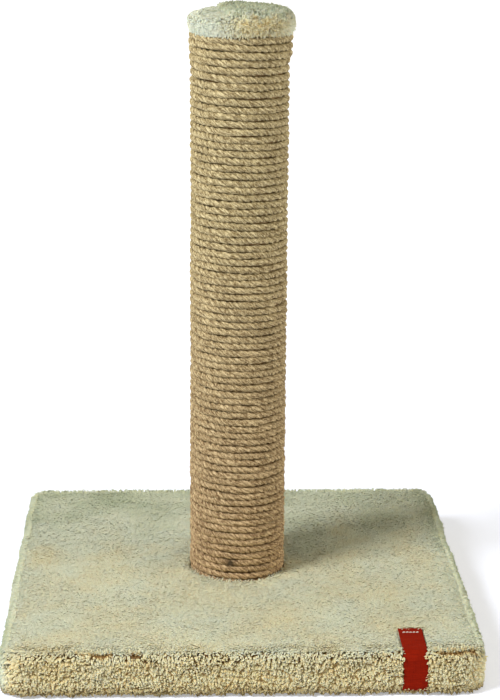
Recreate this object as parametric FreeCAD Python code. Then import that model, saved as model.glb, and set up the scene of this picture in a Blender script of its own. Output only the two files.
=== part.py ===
"""A cat scratching post: a plush covered square base, a rope wound post and a plush cap.

Millimetres. +Z is up and the floor is z = 0. The origin is under the middle of the base, on the
post's axis. The label hangs over the front edge of the base, which faces -Y.
"""
import FreeCAD, Part
import math
import os
from FreeCAD import Vector

# Base: a board wrapped in plush
base_width = 400.0
base_depth = 400.0
board_thickness = 25.0
board_corner = 12.0
pile_side = 10.0
pile_top = 10.4
cover_top_round = 9.0
cover_bottom_round = 5.0
hem_thickness = 3.8
hem_width = 35.0
lining_thickness = 0.8
lining_margin = 15.0
lining_hole = 32.0
seat_thickness = 2.4

# Post: a cardboard tube with a plug in each end
tube_diameter = 72.0
tube_wall = 4.0
tube_length = 494.0
bottom_plug_thickness = 28.0
top_plug_thickness = 18.0

# Rope wound on the tube, left handed, in one layer
rope_diameter = 5.7
turn_spacing = 6.15
rope_end_angle = 90.0
span_count = 4

# Plush cap over the post's top end
cap_pile = 13.0
cap_overhang = 3.2
cap_drop = 10.0
cap_shoulder = 12.5
cap_tuck = 2.6
skirt_thickness = 1.0
skirt_length = 14.0

# Bolt, washer and tee nut that hold the post on the base
bolt_diameter = 8.0
bolt_length = 55.0
head_diameter = 14.0
head_height = 4.4
socket_width = 5.0
socket_depth = 2.6
washer_diameter = 24.0
washer_thickness = 2.0
counterbore_diameter = 26.0
counterbore_depth = 9.0
tee_barrel_diameter = 10.0
tee_barrel_length = 11.0
tee_flange_diameter = 22.0
tee_flange_thickness = 1.4
prong_count = 4
prong_length = 6.0
prong_width = 3.0
prong_thickness = 0.9

# Label: a ribbon over the front edge
label_width = 20.0
label_thickness = 1.0
label_sink = 1.5
label_inset = 50.5
label_reach = 52.0
label_tail = 8.0
stitch_count = 5
stitch_length = 1.8
stitch_width = 0.8
stitch_height = 0.5
stitch_inset = 9.0
stitch_margin = 3.0

# Staples and nails
staple_crown = 10.0
staple_wire = 0.6
staple_band = 1.0
staple_leg = 12.0
hem_staple_count = 6  # a side
hem_staple_inset = 18.0
hem_staple_sink = 1.2
lining_staple_count = 5  # a side
lining_staple_inset = 10.0
lining_staple_sink = 0.1
nail_diameter = 1.8
nail_length = 18.0
nail_head_diameter = 4.0
nail_head_height = 0.8
nails_in_a_plug = 4
rope_nail_height = 55.0
rope_nail_angle = -100.0

# Clearances
soft_clearance = 0.15
rope_clearance = 0.2
seat_clearance = 1.0
plug_clearance = 0.1
fastener_clearance = 0.05
thread_clearance = 0.08
shank_clearance = 0.5
washer_clearance = 0.2
cap_clearance = 0.3
label_clearance = 0.3

# Heights of the seats, from the floor up
board_bottom = hem_thickness
board_top = board_bottom + board_thickness
cover_top = board_top + pile_top
post_bottom = board_top + seat_thickness
post_top = post_bottom + tube_length
cap_bottom = post_top - cap_drop
plug_top = post_bottom + bottom_plug_thickness
washer_top = board_bottom + counterbore_depth
head_seat = washer_top - washer_thickness
top_plug_bottom = post_top - top_plug_thickness

# Radii and widths that follow from the sizes above
tube_radius = tube_diameter / 2
bore_radius = tube_radius - tube_wall
rope_radius = tube_radius + rope_clearance + rope_diameter / 2
skirt_radius = tube_radius + soft_clearance
rope_lift = soft_clearance + skirt_thickness
post_radius = rope_radius + rope_diameter / 2
board_width = base_width - 2 * pile_side
board_depth = base_depth - 2 * pile_side
cover_corner = board_corner + pile_side
front_edge = -base_depth / 2
label_offset = base_width / 2 - label_inset - label_width / 2

# The rope's turns fill the tube from under the cap down to the seat
rope_top = cap_bottom - cap_clearance - rope_diameter / 2
rope_room = rope_top - post_bottom - rope_clearance - rope_diameter / 2
rope_turns = math.floor(rope_room / turn_spacing)
rope_bottom = rope_top - rope_turns * turn_spacing
lift_end_turn = rope_turns - skirt_length / turn_spacing - 0.5


def rounded_block(width, depth, bottom, height, corner):
    """A block centred on the axis with its upright edges rounded."""
    block = Part.makeBox(width, depth, height, Vector(-width / 2, -depth / 2, bottom))
    upright = [e for e in block.Edges if e.BoundBox.ZLength > height / 2]
    return block.makeFillet(corner, upright)


def edges_at(shape, height):
    """The edges of a shape that lie flat at a height."""
    return [e for e in shape.Edges
            if abs(e.BoundBox.ZMin - height) < 1e-6 and abs(e.BoundBox.ZMax - height) < 1e-6]


def cylinder(diameter, bottom, height, x=0.0, y=0.0):
    return Part.makeCylinder(diameter / 2, height, Vector(x, y, bottom))


def turned(points_and_arcs):
    """A solid of revolution about Z from (radius, height) points; a pair of points is an arc to the second."""
    edges = []
    here = Vector(points_and_arcs[0][0], 0, points_and_arcs[0][1])
    for step in points_and_arcs[1:] + points_and_arcs[:1]:
        if isinstance(step[0], tuple):
            middle, end = [Vector(r, 0, z) for r, z in step]
            edges.append(Part.Arc(here, middle, end).toShape())
        else:
            end = Vector(step[0], 0, step[1])
            edges.append(Part.LineSegment(here, end).toShape())
        here = end
    return Part.Face(Part.Wire(edges)).revolve(Vector(0, 0, 0), Vector(0, 0, 1), 360)


def staple(x, y, angle, crown_bottom, grow=0.0, opened=0.0):
    """A staple driven upwards. grow makes its slot, and opened carries the slot down to the surface."""
    crown_top = crown_bottom + staple_wire
    half = staple_crown / 2
    thick = staple_band / 2 + grow
    crown = Part.makeBox(2 * (half + grow), 2 * thick, staple_wire + grow + opened,
                         Vector(-half - grow, -thick, crown_bottom - opened))
    solid = crown
    for side in (-1, 1):
        middle = side * (half - staple_wire / 2)
        wide = staple_wire / 2 + grow
        leg = Part.makeBox(2 * wide, 2 * thick, staple_leg + grow, Vector(middle - wide, -thick, crown_top))
        solid = solid.fuse(leg)
    solid = solid.removeSplitter()
    solid.rotate(Vector(0, 0, 0), Vector(0, 0, 1), angle)
    solid.translate(Vector(x, y, 0))
    return solid


def ring_of_places(half_x, half_y, count_a_side, room):
    """Places along the four sides of a rectangle, evenly spaced, with the angle of each side."""
    places = []
    for i in range(count_a_side):
        share = 2 * (i + 0.5) / count_a_side - 1
        along_x = share * (half_x - room)
        along_y = share * (half_y - room)
        places += [(along_x, -half_y, 0), (along_x, half_y, 0)]
        places += [(-half_x, along_y, 90), (half_x, along_y, 90)]
    return places


def hem_staples(grow=0.0, opened=0.0):
    half_x = board_width / 2 - hem_staple_inset
    half_y = board_depth / 2 - hem_staple_inset
    places = ring_of_places(half_x, half_y, hem_staple_count, hem_width)
    height = lining_thickness + hem_staple_sink
    return [staple(x, y, a, height, grow, opened) for x, y, a in places]


def lining_staples(grow=0.0, opened=0.0):
    half_x = base_width / 2 - lining_margin - lining_staple_inset
    half_y = base_depth / 2 - lining_margin - lining_staple_inset
    places = ring_of_places(half_x, half_y, lining_staple_count, hem_width)
    return [staple(x, y, a, lining_staple_sink, grow, opened) for x, y, a in places]


def label_staple(grow=0.0, opened=0.0):
    """One staple up through the label's tail into the board's underside."""
    y = front_edge + pile_side + label_tail / 2
    return [staple(label_offset, y, 0, label_sink - staple_wire, grow, opened)]


def nail(angle, height, head_radius, grow=0.0, sunk=0.0):
    """A nail driven in towards the axis, with its head's outer face at head_radius."""
    head = Part.makeCylinder(nail_head_diameter / 2 + grow, nail_head_height + grow + sunk)
    shank = Part.makeCylinder(nail_diameter / 2 + grow, nail_length + grow)
    head.translate(Vector(0, 0, -sunk))
    solid = head.fuse(shank).removeSplitter()
    solid.rotate(Vector(0, 0, 0), Vector(0, 1, 0), -90)
    solid.translate(Vector(head_radius, 0, height))
    solid.rotate(Vector(0, 0, 0), Vector(0, 0, 1), angle)
    return solid


def plug_nails(height, grow=0.0, sunk=0.0):
    """Nails through the tube into a plug, with their heads flush with the tube."""
    step = 360 / nails_in_a_plug
    return [nail(step * (i + 0.5), height, tube_radius, grow, sunk) for i in range(nails_in_a_plug)]


def rope_radius_at(turn):
    """The winding's radius, which grows over one turn where the rope climbs on to the cap's skirt."""
    share = min(max(turn - (lift_end_turn - 1), 0), 1)
    return rope_radius + rope_lift * share * share * (3 - 2 * share)


def rope_point(turn):
    angle = math.radians(rope_end_angle) - 2 * math.pi * (turn - rope_turns)
    radius = rope_radius_at(turn)
    return Vector(radius * math.cos(angle), radius * math.sin(angle), rope_bottom + turn_spacing * turn)


def rope_heading(turn):
    step = 1e-4
    return (rope_point(turn + step) - rope_point(turn - step)).normalize()


def arc_by_corner(start, corner, end):
    """The arc between two points whose tangents there meet at a corner."""
    middle = (start + end) * 0.5
    half = (end - start).Length / 2
    out = corner - middle
    bend = 2 * math.acos(half / (corner - start).Length)
    sag = half * math.tan(bend / 4)
    return Part.Arc(start, middle + out * (sag / out.Length), end)


def biarc(start, start_heading, end, end_heading):
    """Two tangent arcs that leave start and reach end along the given headings."""
    chord = end - start
    both = start_heading + end_heading
    a = 2 * (1 - start_heading.dot(end_heading))
    b = 2 * chord.dot(both)
    c = -chord.dot(chord)
    reach = (math.sqrt(b * b - 4 * a * c) - b) / (2 * a)
    first_corner = start + start_heading * reach
    last_corner = end - end_heading * reach
    joint = (first_corner + last_corner) * 0.5
    return [arc_by_corner(start, first_corner, joint), arc_by_corner(joint, last_corner, end)]


def rope_path(first_turn, last_turn):
    """A span's centre line: half turns of the winding as biarcs. The rope's own two ends run on straight."""
    halves = max(2, math.ceil(2 * (last_turn - first_turn)))
    turns = [first_turn + (last_turn - first_turn) * i / halves for i in range(halves + 1)]
    stations = [(rope_point(t), rope_heading(t)) for t in turns]
    path = []
    for (p, p_heading), (q, q_heading) in zip(stations, stations[1:]):
        path += biarc(p, p_heading, q, q_heading)
    start, start_heading = stations[0]
    end, end_heading = stations[-1]
    if first_turn == 0:
        path.insert(0, Part.LineSegment(start - start_heading * rope_diameter, start))
    if last_turn == rope_turns:
        path.append(Part.LineSegment(end, end + end_heading * rope_diameter))
    return path


def rope_span(path):
    """One unbroken tube along a path."""
    wire = Part.Wire([curve.toShape() for curve in path])
    start = path[0].StartPoint
    heading = path[0].tangent(path[0].FirstParameter)[0]
    section = Part.Wire([Part.Circle(start, heading, rope_diameter / 2).toShape()])
    maker = Part.BRepOffsetAPI.MakePipeShell(wire)
    maker.add(section)
    maker.build()
    maker.makeSolid()
    return maker.shape()


def least_rope_gap(paths, points_an_arc=24):
    """The least gap between one turn of the rope and the next, measured between points on the centre line."""
    points = []
    for path in paths:
        for curve in path:
            shape = curve.toShape()
            points += shape.discretize(points_an_arc)[:-1]
    turn = 4 * (points_an_arc - 1)
    least = math.inf
    for i, p in enumerate(points):
        for q in points[i + turn // 2: i + turn + turn // 2]:
            least = min(least, p.distanceToPoint(q))
    return least - rope_diameter


def rope_nails(grow=0.0, sunk=0.0):
    """One nail through a low turn at the front and one through the last turn at the back."""
    low_turn = rope_turn_near(rope_nail_height, rope_nail_angle)
    high_turn = rope_turns - 1.5 * nail_head_diameter / (2 * math.pi * rope_radius)
    solids = []
    for turn in (low_turn, high_turn):
        place = rope_point(turn)
        angle = math.degrees(math.atan2(place.y, place.x))
        head_radius = rope_radius_at(turn) + rope_diameter / 2
        solids.append(nail(angle, place.z, head_radius, grow, sunk))
    return solids


def rope_turn_near(height, angle):
    """The turn count of the winding at an angle, nearest to a height."""
    phase = (rope_end_angle - angle) / 360
    return round((height - rope_bottom) / turn_spacing - phase) + phase


def label_path(depth):
    """The section of the base's front at a depth under the pile, from the label's top end to its tail."""
    wall = front_edge + depth
    top = cover_top - depth
    top_arc = front_edge + cover_top_round
    low_arc = front_edge + cover_bottom_round
    top_bend = cover_top_round - depth
    low_bend = cover_bottom_round - depth
    slant = math.sqrt(0.5)
    start = Vector(0, front_edge + label_reach, top)
    top_start = Vector(0, top_arc, top)
    top_middle = Vector(0, top_arc - top_bend * slant, cover_top - cover_top_round + top_bend * slant)
    top_end = Vector(0, wall, cover_top - cover_top_round)
    low_start = Vector(0, wall, cover_bottom_round)
    low_middle = Vector(0, low_arc - low_bend * slant, cover_bottom_round - low_bend * slant)
    low_end = Vector(0, low_arc, depth)
    end = Vector(0, front_edge + pile_side + label_tail, depth)
    return [
        Part.LineSegment(start, top_start),
        Part.Arc(top_start, top_middle, top_end),
        Part.LineSegment(top_end, low_start),
        Part.Arc(low_start, low_middle, low_end),
        Part.LineSegment(low_end, end),
    ]


def label_strip(upper_depth, lower_depth, width):
    """A strip of the base's front between two depths, as wide as asked."""
    upper = [curve.toShape() for curve in label_path(upper_depth)]
    lower = [curve.toShape() for curve in label_path(lower_depth)]
    ends = [
        Part.LineSegment(upper[0].Vertexes[0].Point, lower[0].Vertexes[0].Point).toShape(),
        Part.LineSegment(upper[-1].Vertexes[-1].Point, lower[-1].Vertexes[-1].Point).toShape(),
    ]
    outline = Part.Wire(Part.__sortEdges__(upper + lower + ends))
    strip = Part.Face(outline).extrude(Vector(width, 0, 0))
    strip.translate(Vector(label_offset - width / 2, 0, 0))
    return strip


def make_base_board():
    board = rounded_block(board_width, board_depth, board_bottom, board_thickness, board_corner)
    hole = cylinder(bolt_diameter + 2 * shank_clearance, board_bottom, board_thickness)
    recess = cylinder(counterbore_diameter, board_bottom, counterbore_depth)
    slots = hem_staples(fastener_clearance) + lining_staples(fastener_clearance)
    slots += label_staple(fastener_clearance)
    return board.cut([hole, recess] + slots)


def make_base_plush_cover():
    block = rounded_block(base_width, base_depth, 0, cover_top, cover_corner)
    block = block.makeFillet(cover_top_round, edges_at(block, cover_top))
    block = block.makeFillet(cover_bottom_round, edges_at(block, 0))
    room = 2 * soft_clearance
    pocket = rounded_block(board_width + room, board_depth + room, board_bottom, board_thickness,
                           board_corner + soft_clearance)
    window = rounded_block(board_width - 2 * hem_width, board_depth - 2 * hem_width, 0, hem_thickness,
                           board_corner)
    rebate = rounded_block(base_width - 2 * lining_margin + room, base_depth - 2 * lining_margin + room,
                           0, lining_thickness, board_corner)
    seat = cylinder(2 * (post_radius + seat_clearance), post_bottom, pile_top)
    bolt_hole = cylinder(bolt_diameter + 4 * shank_clearance, board_top, pile_top)
    groove_depth = label_sink + label_thickness + label_clearance
    groove = label_strip(-label_clearance, groove_depth, label_width + 2 * label_clearance)
    slots = hem_staples(fastener_clearance, hem_staple_sink) + lining_staples(fastener_clearance)
    slots += label_staple(fastener_clearance, label_sink)
    return block.cut([pocket, window, rebate, seat, bolt_hole, groove] + slots)


def make_underside_lining():
    lining = rounded_block(base_width - 2 * lining_margin, base_depth - 2 * lining_margin,
                           0, lining_thickness, board_corner)
    access = cylinder(lining_hole, 0, lining_thickness)
    return lining.cut([access] + lining_staples(fastener_clearance, lining_staple_sink))


def make_label_tag():
    ribbon = label_strip(label_sink, label_sink + label_thickness, label_width)
    return ribbon.cut(label_staple(fastener_clearance, label_sink))


def make_label_stitches():
    """A row of stitches across the label's top end, lying on the ribbon."""
    row = label_width - 2 * stitch_margin
    y = front_edge + label_reach - stitch_inset
    top = cover_top - label_sink
    stitches = []
    for i in range(stitch_count):
        x = label_offset + row * ((i + 0.5) / stitch_count - 0.5)
        corner = Vector(x - stitch_length / 2, y - stitch_width / 2, top)
        stitches.append(Part.makeBox(stitch_length, stitch_width, stitch_height, corner))
    return Part.makeCompound(stitches)


def make_bolt_washer():
    ring = cylinder(washer_diameter, head_seat, washer_thickness)
    return ring.cut(cylinder(bolt_diameter + 2 * washer_clearance, head_seat, washer_thickness))


def make_fixing_bolt():
    """A button head bolt standing head down, with a hexagon socket."""
    head = cylinder(head_diameter, head_seat - head_height, head_height)
    head = head.makeFillet(head_height * 0.7, edges_at(head, head_seat - head_height))
    shank = cylinder(bolt_diameter, head_seat, bolt_length)
    tip = edges_at(shank, head_seat + bolt_length)
    shank = shank.makeChamfer(bolt_diameter / 10, tip)
    reach = socket_width / math.sqrt(3)
    corners = [Vector(reach * math.cos(math.radians(60 * i)), reach * math.sin(math.radians(60 * i)),
                      head_seat - head_height) for i in range(7)]
    socket = Part.Face(Part.makePolygon(corners)).extrude(Vector(0, 0, socket_depth))
    return head.fuse(shank).removeSplitter().cut(socket)


def tee_nut(grow=0.0):
    """The tee nut over the bottom plug: a flange on the plug, a barrel in it and prongs driven into it."""
    flange = cylinder(tee_flange_diameter + 2 * grow, plug_top, tee_flange_thickness)
    barrel = cylinder(tee_barrel_diameter + 2 * grow, plug_top - tee_barrel_length - grow, tee_barrel_length + grow)
    solid = flange.fuse(barrel)
    for i in range(prong_count):
        wide = prong_width + 2 * grow
        thick = prong_thickness + 2 * grow
        prong = Part.makeBox(thick, wide, prong_length + grow,
                             Vector(tee_flange_diameter / 2 - prong_thickness - grow, -wide / 2,
                                    plug_top - prong_length - grow))
        prong.rotate(Vector(0, 0, 0), Vector(0, 0, 1), 360 * i / prong_count)
        solid = solid.fuse(prong)
    return solid.removeSplitter()


def make_tee_nut():
    bore = cylinder(bolt_diameter + 2 * thread_clearance, plug_top - tee_barrel_length,
                    tee_barrel_length + tee_flange_thickness)
    return tee_nut().cut(bore)


def make_post_tube():
    outside = cylinder(tube_diameter, post_bottom, tube_length)
    bore = cylinder(2 * bore_radius, post_bottom, tube_length)
    holes = bottom_plug_nails(fastener_clearance, nail_head_height)
    holes += top_plug_nails(fastener_clearance, nail_head_height) + rope_nails(fastener_clearance)
    return outside.cut([bore] + holes)


def bottom_plug_nails(grow=0.0, sunk=0.0):
    return plug_nails(post_bottom + bottom_plug_thickness / 3, grow, sunk)


def top_plug_nails(grow=0.0, sunk=0.0):
    return plug_nails(top_plug_bottom + top_plug_thickness / 2, grow, sunk)


def make_bottom_plug():
    plug = cylinder(2 * (bore_radius - plug_clearance), post_bottom, bottom_plug_thickness)
    hole = cylinder(bolt_diameter + 2 * shank_clearance, post_bottom, bottom_plug_thickness)
    cuts = [hole, tee_nut(fastener_clearance)]
    cuts += bottom_plug_nails(fastener_clearance) + rope_nails(fastener_clearance)
    return plug.cut(cuts)


def make_top_plug():
    plug = cylinder(2 * (bore_radius - plug_clearance), top_plug_bottom, top_plug_thickness)
    return plug.cut(top_plug_nails(fastener_clearance) + rope_nails(fastener_clearance))


def make_top_plush_cap():
    """The cap's crown, its round side drawn in over the rope, and the skirt that runs down under it."""
    crown = post_top + cap_pile
    side = post_radius + cap_overhang
    shoulder = crown - cap_shoulder
    edge = side - cap_tuck
    inner = skirt_radius
    outer = skirt_radius + skirt_thickness
    skirt_bottom = cap_bottom - skirt_length
    slant = math.sqrt(0.5)
    shoulder_reach = side - cap_shoulder
    crown_rise = cap_shoulder / 6
    cap = turned([
        (0, crown),
        ((shoulder_reach / 2, crown - crown_rise / 4), (shoulder_reach, crown - crown_rise)),
        ((shoulder_reach + cap_shoulder * slant, shoulder + (cap_shoulder - crown_rise) * slant), (side, shoulder)),
        ((side - cap_tuck / 3, (shoulder + cap_bottom) / 2), (edge, cap_bottom)),
        (outer, cap_bottom),
        (outer, skirt_bottom),
        (inner, skirt_bottom),
        (inner, post_top + soft_clearance),
        (0, post_top + soft_clearance),
    ])
    return cap.cut(rope_nails(fastener_clearance))


def make_rope_spans(paths):
    """The winding's spans, each with the holes of the nails that go through it."""
    holes = rope_nails(fastener_clearance, nail_head_height)
    spans = [rope_span(path) for path in paths]
    spans[0] = spans[0].cut(holes[0])
    spans[-1] = spans[-1].cut(holes[1])
    return spans


span_ends = [rope_turns * i / span_count for i in range(span_count + 1)]
span_paths = [rope_path(a, b) for a, b in zip(span_ends, span_ends[1:])]

parts = {
    "base_board": make_base_board(),
    "base_plush_cover": make_base_plush_cover(),
    "underside_lining": make_underside_lining(),
    "hem_staples": Part.makeCompound(hem_staples()),
    "lining_staples": Part.makeCompound(lining_staples()),
    "label_tag": make_label_tag(),
    "label_stitches": make_label_stitches(),
    "label_staple": Part.makeCompound(label_staple()),
    "bolt_washer": make_bolt_washer(),
    "fixing_bolt": make_fixing_bolt(),
    "post_tube": make_post_tube(),
    "bottom_plug": make_bottom_plug(),
    "tee_nut": make_tee_nut(),
    "bottom_plug_nails": Part.makeCompound(bottom_plug_nails()),
    "top_plug": make_top_plug(),
    "top_plug_nails": Part.makeCompound(top_plug_nails()),
    "rope_nails": Part.makeCompound(rope_nails()),
    "top_plush_cap": make_top_plush_cap(),
}
for number, span in enumerate(make_rope_spans(span_paths), 1):
    parts["rope_span_%d" % number] = span

os.makedirs("parts", exist_ok=True)
for node, shape in parts.items():
    shape.exportStep("parts/%s.step" % node)
    box = shape.BoundBox
    print("%-18s solids %3d valid %s volume %10.1f mm3 size %6.1f %6.1f %6.1f from z %6.1f" % (
        node, len(shape.Solids), shape.isValid(), shape.Volume,
        box.XLength, box.YLength, box.ZLength, box.ZMin))
rope_length = sum(curve.length() for path in span_paths for curve in path)
print("rope: %d turns, %.2f to a span, %.2f m long" % (
    rope_turns, rope_turns / span_count, rope_length / 1000))
print("least gap of the rope to itself: %.3f mm" % least_rope_gap(span_paths))
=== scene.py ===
# %% [markdown]
# A cat scratching post, dressed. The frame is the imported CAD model: a board in a plush cover, a tube with
# rope wound on it, a plush cap, and a bolt that draws the post down onto the board. The rigid pieces of
# that model stay as they are and get finishes here. The soft ones, which are plush, rope, ribbon and
# lining, and the bolt with its thread, are made again as surfaces worked out with numpy, in millimetres,
# and written into meshes in metres.

# %% Load the frame
import math

import bpy
import numpy as np
from mathutils import Matrix


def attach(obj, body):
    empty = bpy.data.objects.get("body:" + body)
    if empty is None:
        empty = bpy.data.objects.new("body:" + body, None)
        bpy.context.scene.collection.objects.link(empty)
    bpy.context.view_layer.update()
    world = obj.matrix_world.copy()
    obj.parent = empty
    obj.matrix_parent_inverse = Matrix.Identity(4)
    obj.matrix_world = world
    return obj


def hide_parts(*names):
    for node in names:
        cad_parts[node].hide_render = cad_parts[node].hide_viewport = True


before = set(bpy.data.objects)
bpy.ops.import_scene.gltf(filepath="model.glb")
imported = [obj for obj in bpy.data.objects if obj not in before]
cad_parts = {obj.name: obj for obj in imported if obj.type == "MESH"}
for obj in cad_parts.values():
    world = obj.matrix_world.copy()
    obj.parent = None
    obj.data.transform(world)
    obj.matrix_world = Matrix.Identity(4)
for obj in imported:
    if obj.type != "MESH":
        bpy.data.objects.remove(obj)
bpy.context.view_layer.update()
MM = 0.001
UP = np.array([0.0, 0.0, 1.0])

# %% [markdown]
# The camera looks at the post from the front, a little from above, through a long lens. Its place was found
# by fitting the edges of the base and the post to the picture, so the numbers here are results of that fit:
# a focal length in pixels of a 500 by 700 picture, a place in millimetres, and three turns in degrees.

# %% Camera
picture_height = 700
focal_pixels = 2033.8
sensor_height = 36.0
view_end = 20.0
camera_place = np.array([-52.8, -1711.7, 713.8])
camera_pitch = math.radians(15.55)
camera_yaw = math.radians(2.11)
camera_roll = math.radians(0.44)


def add_object(name, data):
    """A new object with that data, linked into the scene."""
    holder = bpy.data.objects.new(name, data)
    bpy.context.scene.collection.objects.link(holder)
    return holder


def aim(holder, axes, place):
    """Puts an object at a place in millimetres, with its own X, Y and Z along the three axes."""
    turn = np.eye(4)
    turn[:3, :3] = np.stack(axes, axis=1)
    turn[:3, 3] = np.asarray(place) * MM
    holder.matrix_world = Matrix(turn.tolist())


def camera_axes(yaw, pitch, roll):
    """The view's right, up and forward directions: forward turned by yaw and dipped by pitch, then the
    other two turned about it by roll."""
    forward = np.array([math.sin(yaw) * math.cos(pitch), math.cos(yaw) * math.cos(pitch), -math.sin(pitch)])
    level = np.array([math.cos(yaw), -math.sin(yaw), 0.0])
    upright = np.cross(level, forward)
    right = math.cos(roll) * level + math.sin(roll) * upright
    up = math.cos(roll) * upright - math.sin(roll) * level
    return right, up, forward


def place_camera():
    """A camera at the fitted place. It looks along its own negative Z, so its Z is the view's backward
    direction."""
    lens = bpy.data.cameras.new("camera")
    lens.lens = focal_pixels * sensor_height / picture_height
    lens.sensor_width = sensor_height
    lens.clip_end = view_end
    camera = add_object("camera", lens)
    right, up, forward = camera_axes(camera_yaw, camera_pitch, camera_roll)
    aim(camera, (right, up, -forward), camera_place)
    bpy.context.scene.camera = camera
    return camera


camera = place_camera()
bpy.context.scene.view_settings.view_transform = "Standard"
print("camera: lens", round(camera.data.lens, 1), "mm")

# %% [markdown]
# Every new piece goes through the same few steps: an array of points, an array of faces, one mesh.
# Blender's foreach_set copies whole arrays, so there is no loop over points. A closed surface encloses a
# positive volume when its faces point outwards, so the sign of that volume tells whether to turn them
# round.

# %% Meshes from arrays


def grid_quads(rows, columns, wrap_rows=False, wrap_columns=True):
    """The faces of a grid of points numbered row by row: each joins a point, the next in its row, and the
    two beyond them in the next row. A wrapped direction joins its last points to its first."""
    row = np.arange(rows if wrap_rows else rows - 1)[:, None]
    column = np.arange(columns if wrap_columns else columns - 1)[None, :]
    next_row = (row + 1) % rows
    next_column = (column + 1) % columns
    corners = np.broadcast_arrays(row * columns + column, row * columns + next_column,
                                  next_row * columns + next_column, next_row * columns + column)
    return np.stack(corners, axis=-1).reshape(-1, 4)


def enclosed_volume(points, faces):
    """Six times the signed volume under the faces: the sum over a fan of triangles of a dot (b cross c)."""
    first = points[faces[:, 0]]
    total = 0.0
    for corner in range(1, faces.shape[1] - 1):
        second = points[faces[:, corner]]
        third = points[faces[:, corner + 1]]
        total += np.einsum("ij,ij->", first, np.cross(second, third))
    return total


def make_piece(name, points, quads, triangles=None):
    """A smooth mesh object from points in millimetres and its faces, which are made to point outwards."""
    groups = [quads] if triangles is None else [quads, triangles]
    if sum(enclosed_volume(points, group) for group in groups) < 0:
        groups = [group[:, ::-1] for group in groups]
    sizes = np.concatenate([np.full(len(group), group.shape[1]) for group in groups])
    mesh = bpy.data.meshes.new(name)
    mesh.vertices.add(len(points))
    mesh.vertices.foreach_set("co", (points * MM).astype(np.float32).ravel())
    mesh.loops.add(int(sizes.sum()))
    mesh.loops.foreach_set("vertex_index", np.concatenate([g.ravel() for g in groups]).astype(np.int32))
    mesh.polygons.add(len(sizes))
    mesh.polygons.foreach_set("loop_start", (np.cumsum(sizes) - sizes).astype(np.int32))
    mesh.polygons.foreach_set("use_smooth", np.ones(len(sizes), dtype=bool))
    mesh.update(calc_edges=True)
    mesh.validate()
    return add_object(name, mesh)


def add_number(piece, name, values):
    """One number at each point, for the piece's material to read."""
    attribute = piece.data.attributes.new(name, "FLOAT", "POINT")
    attribute.data.foreach_set("value", np.asarray(values, dtype=np.float32).ravel())


def add_vector(piece, name, values):
    """One vector at each point, for the piece's material to read."""
    attribute = piece.data.attributes.new(name, "FLOAT_VECTOR", "POINT")
    attribute.data.foreach_set("vector", np.asarray(values, dtype=np.float32).ravel())


def triangle_count(piece):
    """Triangles that the piece's faces split into: corners less two, summed."""
    return len(piece.data.loops) - 2 * len(piece.data.polygons)


print("a sheet of 3 by 3 points has", len(grid_quads(3, 3, wrap_columns=False)), "faces")

# %% [markdown]
# Many pieces here are grids rolled into tubes. A tube needs its two ends closed, and a map for textures
# needs a cut along it. Modifiers could do both, but a fan of triangles and a count of the columns are as
# short, and show how the faces are numbered.

# %% Ends and maps of tubes


def end_fans(rows, columns):
    """Triangles that close a grid's first and last rows, each round a point of its own. Those two points
    come right after the grid's."""
    first = np.arange(columns)
    last = first + (rows - 1) * columns
    start = np.stack([np.full(columns, rows * columns), np.roll(first, -1), first], axis=-1)
    end = np.stack([np.full(columns, rows * columns + 1), last, np.roll(last, -1)], axis=-1)
    return np.concatenate([start, end])


def face_corners(piece):
    """The point at each corner of the faces, each face's first corner, and the face that each corner is
    of."""
    point = np.empty(len(piece.data.loops), dtype=np.int32)
    piece.data.loops.foreach_get("vertex_index", point)
    face_start = np.empty(len(piece.data.polygons), dtype=np.int32)
    piece.data.polygons.foreach_get("loop_start", face_start)
    return point, face_start, np.searchsorted(face_start, np.arange(len(point)), side="right") - 1


def unrolled(column, columns, face_start, face):
    """Column numbers at the faces' corners. In a face that closes a ring, the first column counts as one
    past the last."""
    last = np.maximum.reduceat(column, face_start)[face]
    return np.where((column == 0) & (last == columns - 1), columns, column)


def write_bake_map(piece, across, up):
    """Stores a map's places, from 0 to 1 both ways, at the corners of the faces, for textures."""
    places = np.stack([across, up], axis=-1).astype(np.float32)
    piece.data.uv_layers.new(name="OFBake").data.foreach_set("uv", places.ravel())


print("a tube of 4 rings of 6 points has", len(grid_quads(4, 6)), "quads,", len(end_fans(4, 6)), "triangles")

# %% [markdown]
# Cloth and rope are never quite even. Blender's noise textures could displace a mesh, but a sum of sine
# waves does it for whole arrays of points, and the same numbers serve a cloth and the pile on it.

# %% Smooth steps and soft noise


def smooth_step(value):
    """Nought below nought, one above one, and a smooth climb between."""
    value = np.clip(value, 0, 1)
    return value * value * (3 - 2 * value)


def soft_noise(places, wavelength, seed, waves=12):
    """A smooth random field from about -1 to 1: sine waves of random directions and phases, with
    wavelengths near the one given, added up and squeezed by tanh."""
    chance = np.random.default_rng(seed)
    places = places.reshape(len(places), -1)
    directions = chance.normal(size=(waves, places.shape[1]))
    directions /= np.linalg.norm(directions, axis=1, keepdims=True)
    pace = 2 * np.pi / (wavelength * chance.uniform(0.7, 1.5, waves))
    phase = chance.uniform(0, 2 * np.pi, waves)
    return np.tanh(np.sin(places @ (directions * pace[:, None]).T + phase).sum(axis=1) / math.sqrt(waves))


sample = soft_noise(np.linspace(0, 1000, 400)[:, None], 50, 1)
print("soft noise along a metre: from", round(sample.min(), 2), "to", round(sample.max(), 2))

# %% [markdown]
# The looks come from trees of shader nodes. The helpers below only shorten the writing: add a node and fill
# its sockets, mix two colours, pick colours from a ramp, raise a bump.

# %% Shader nodes


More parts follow.
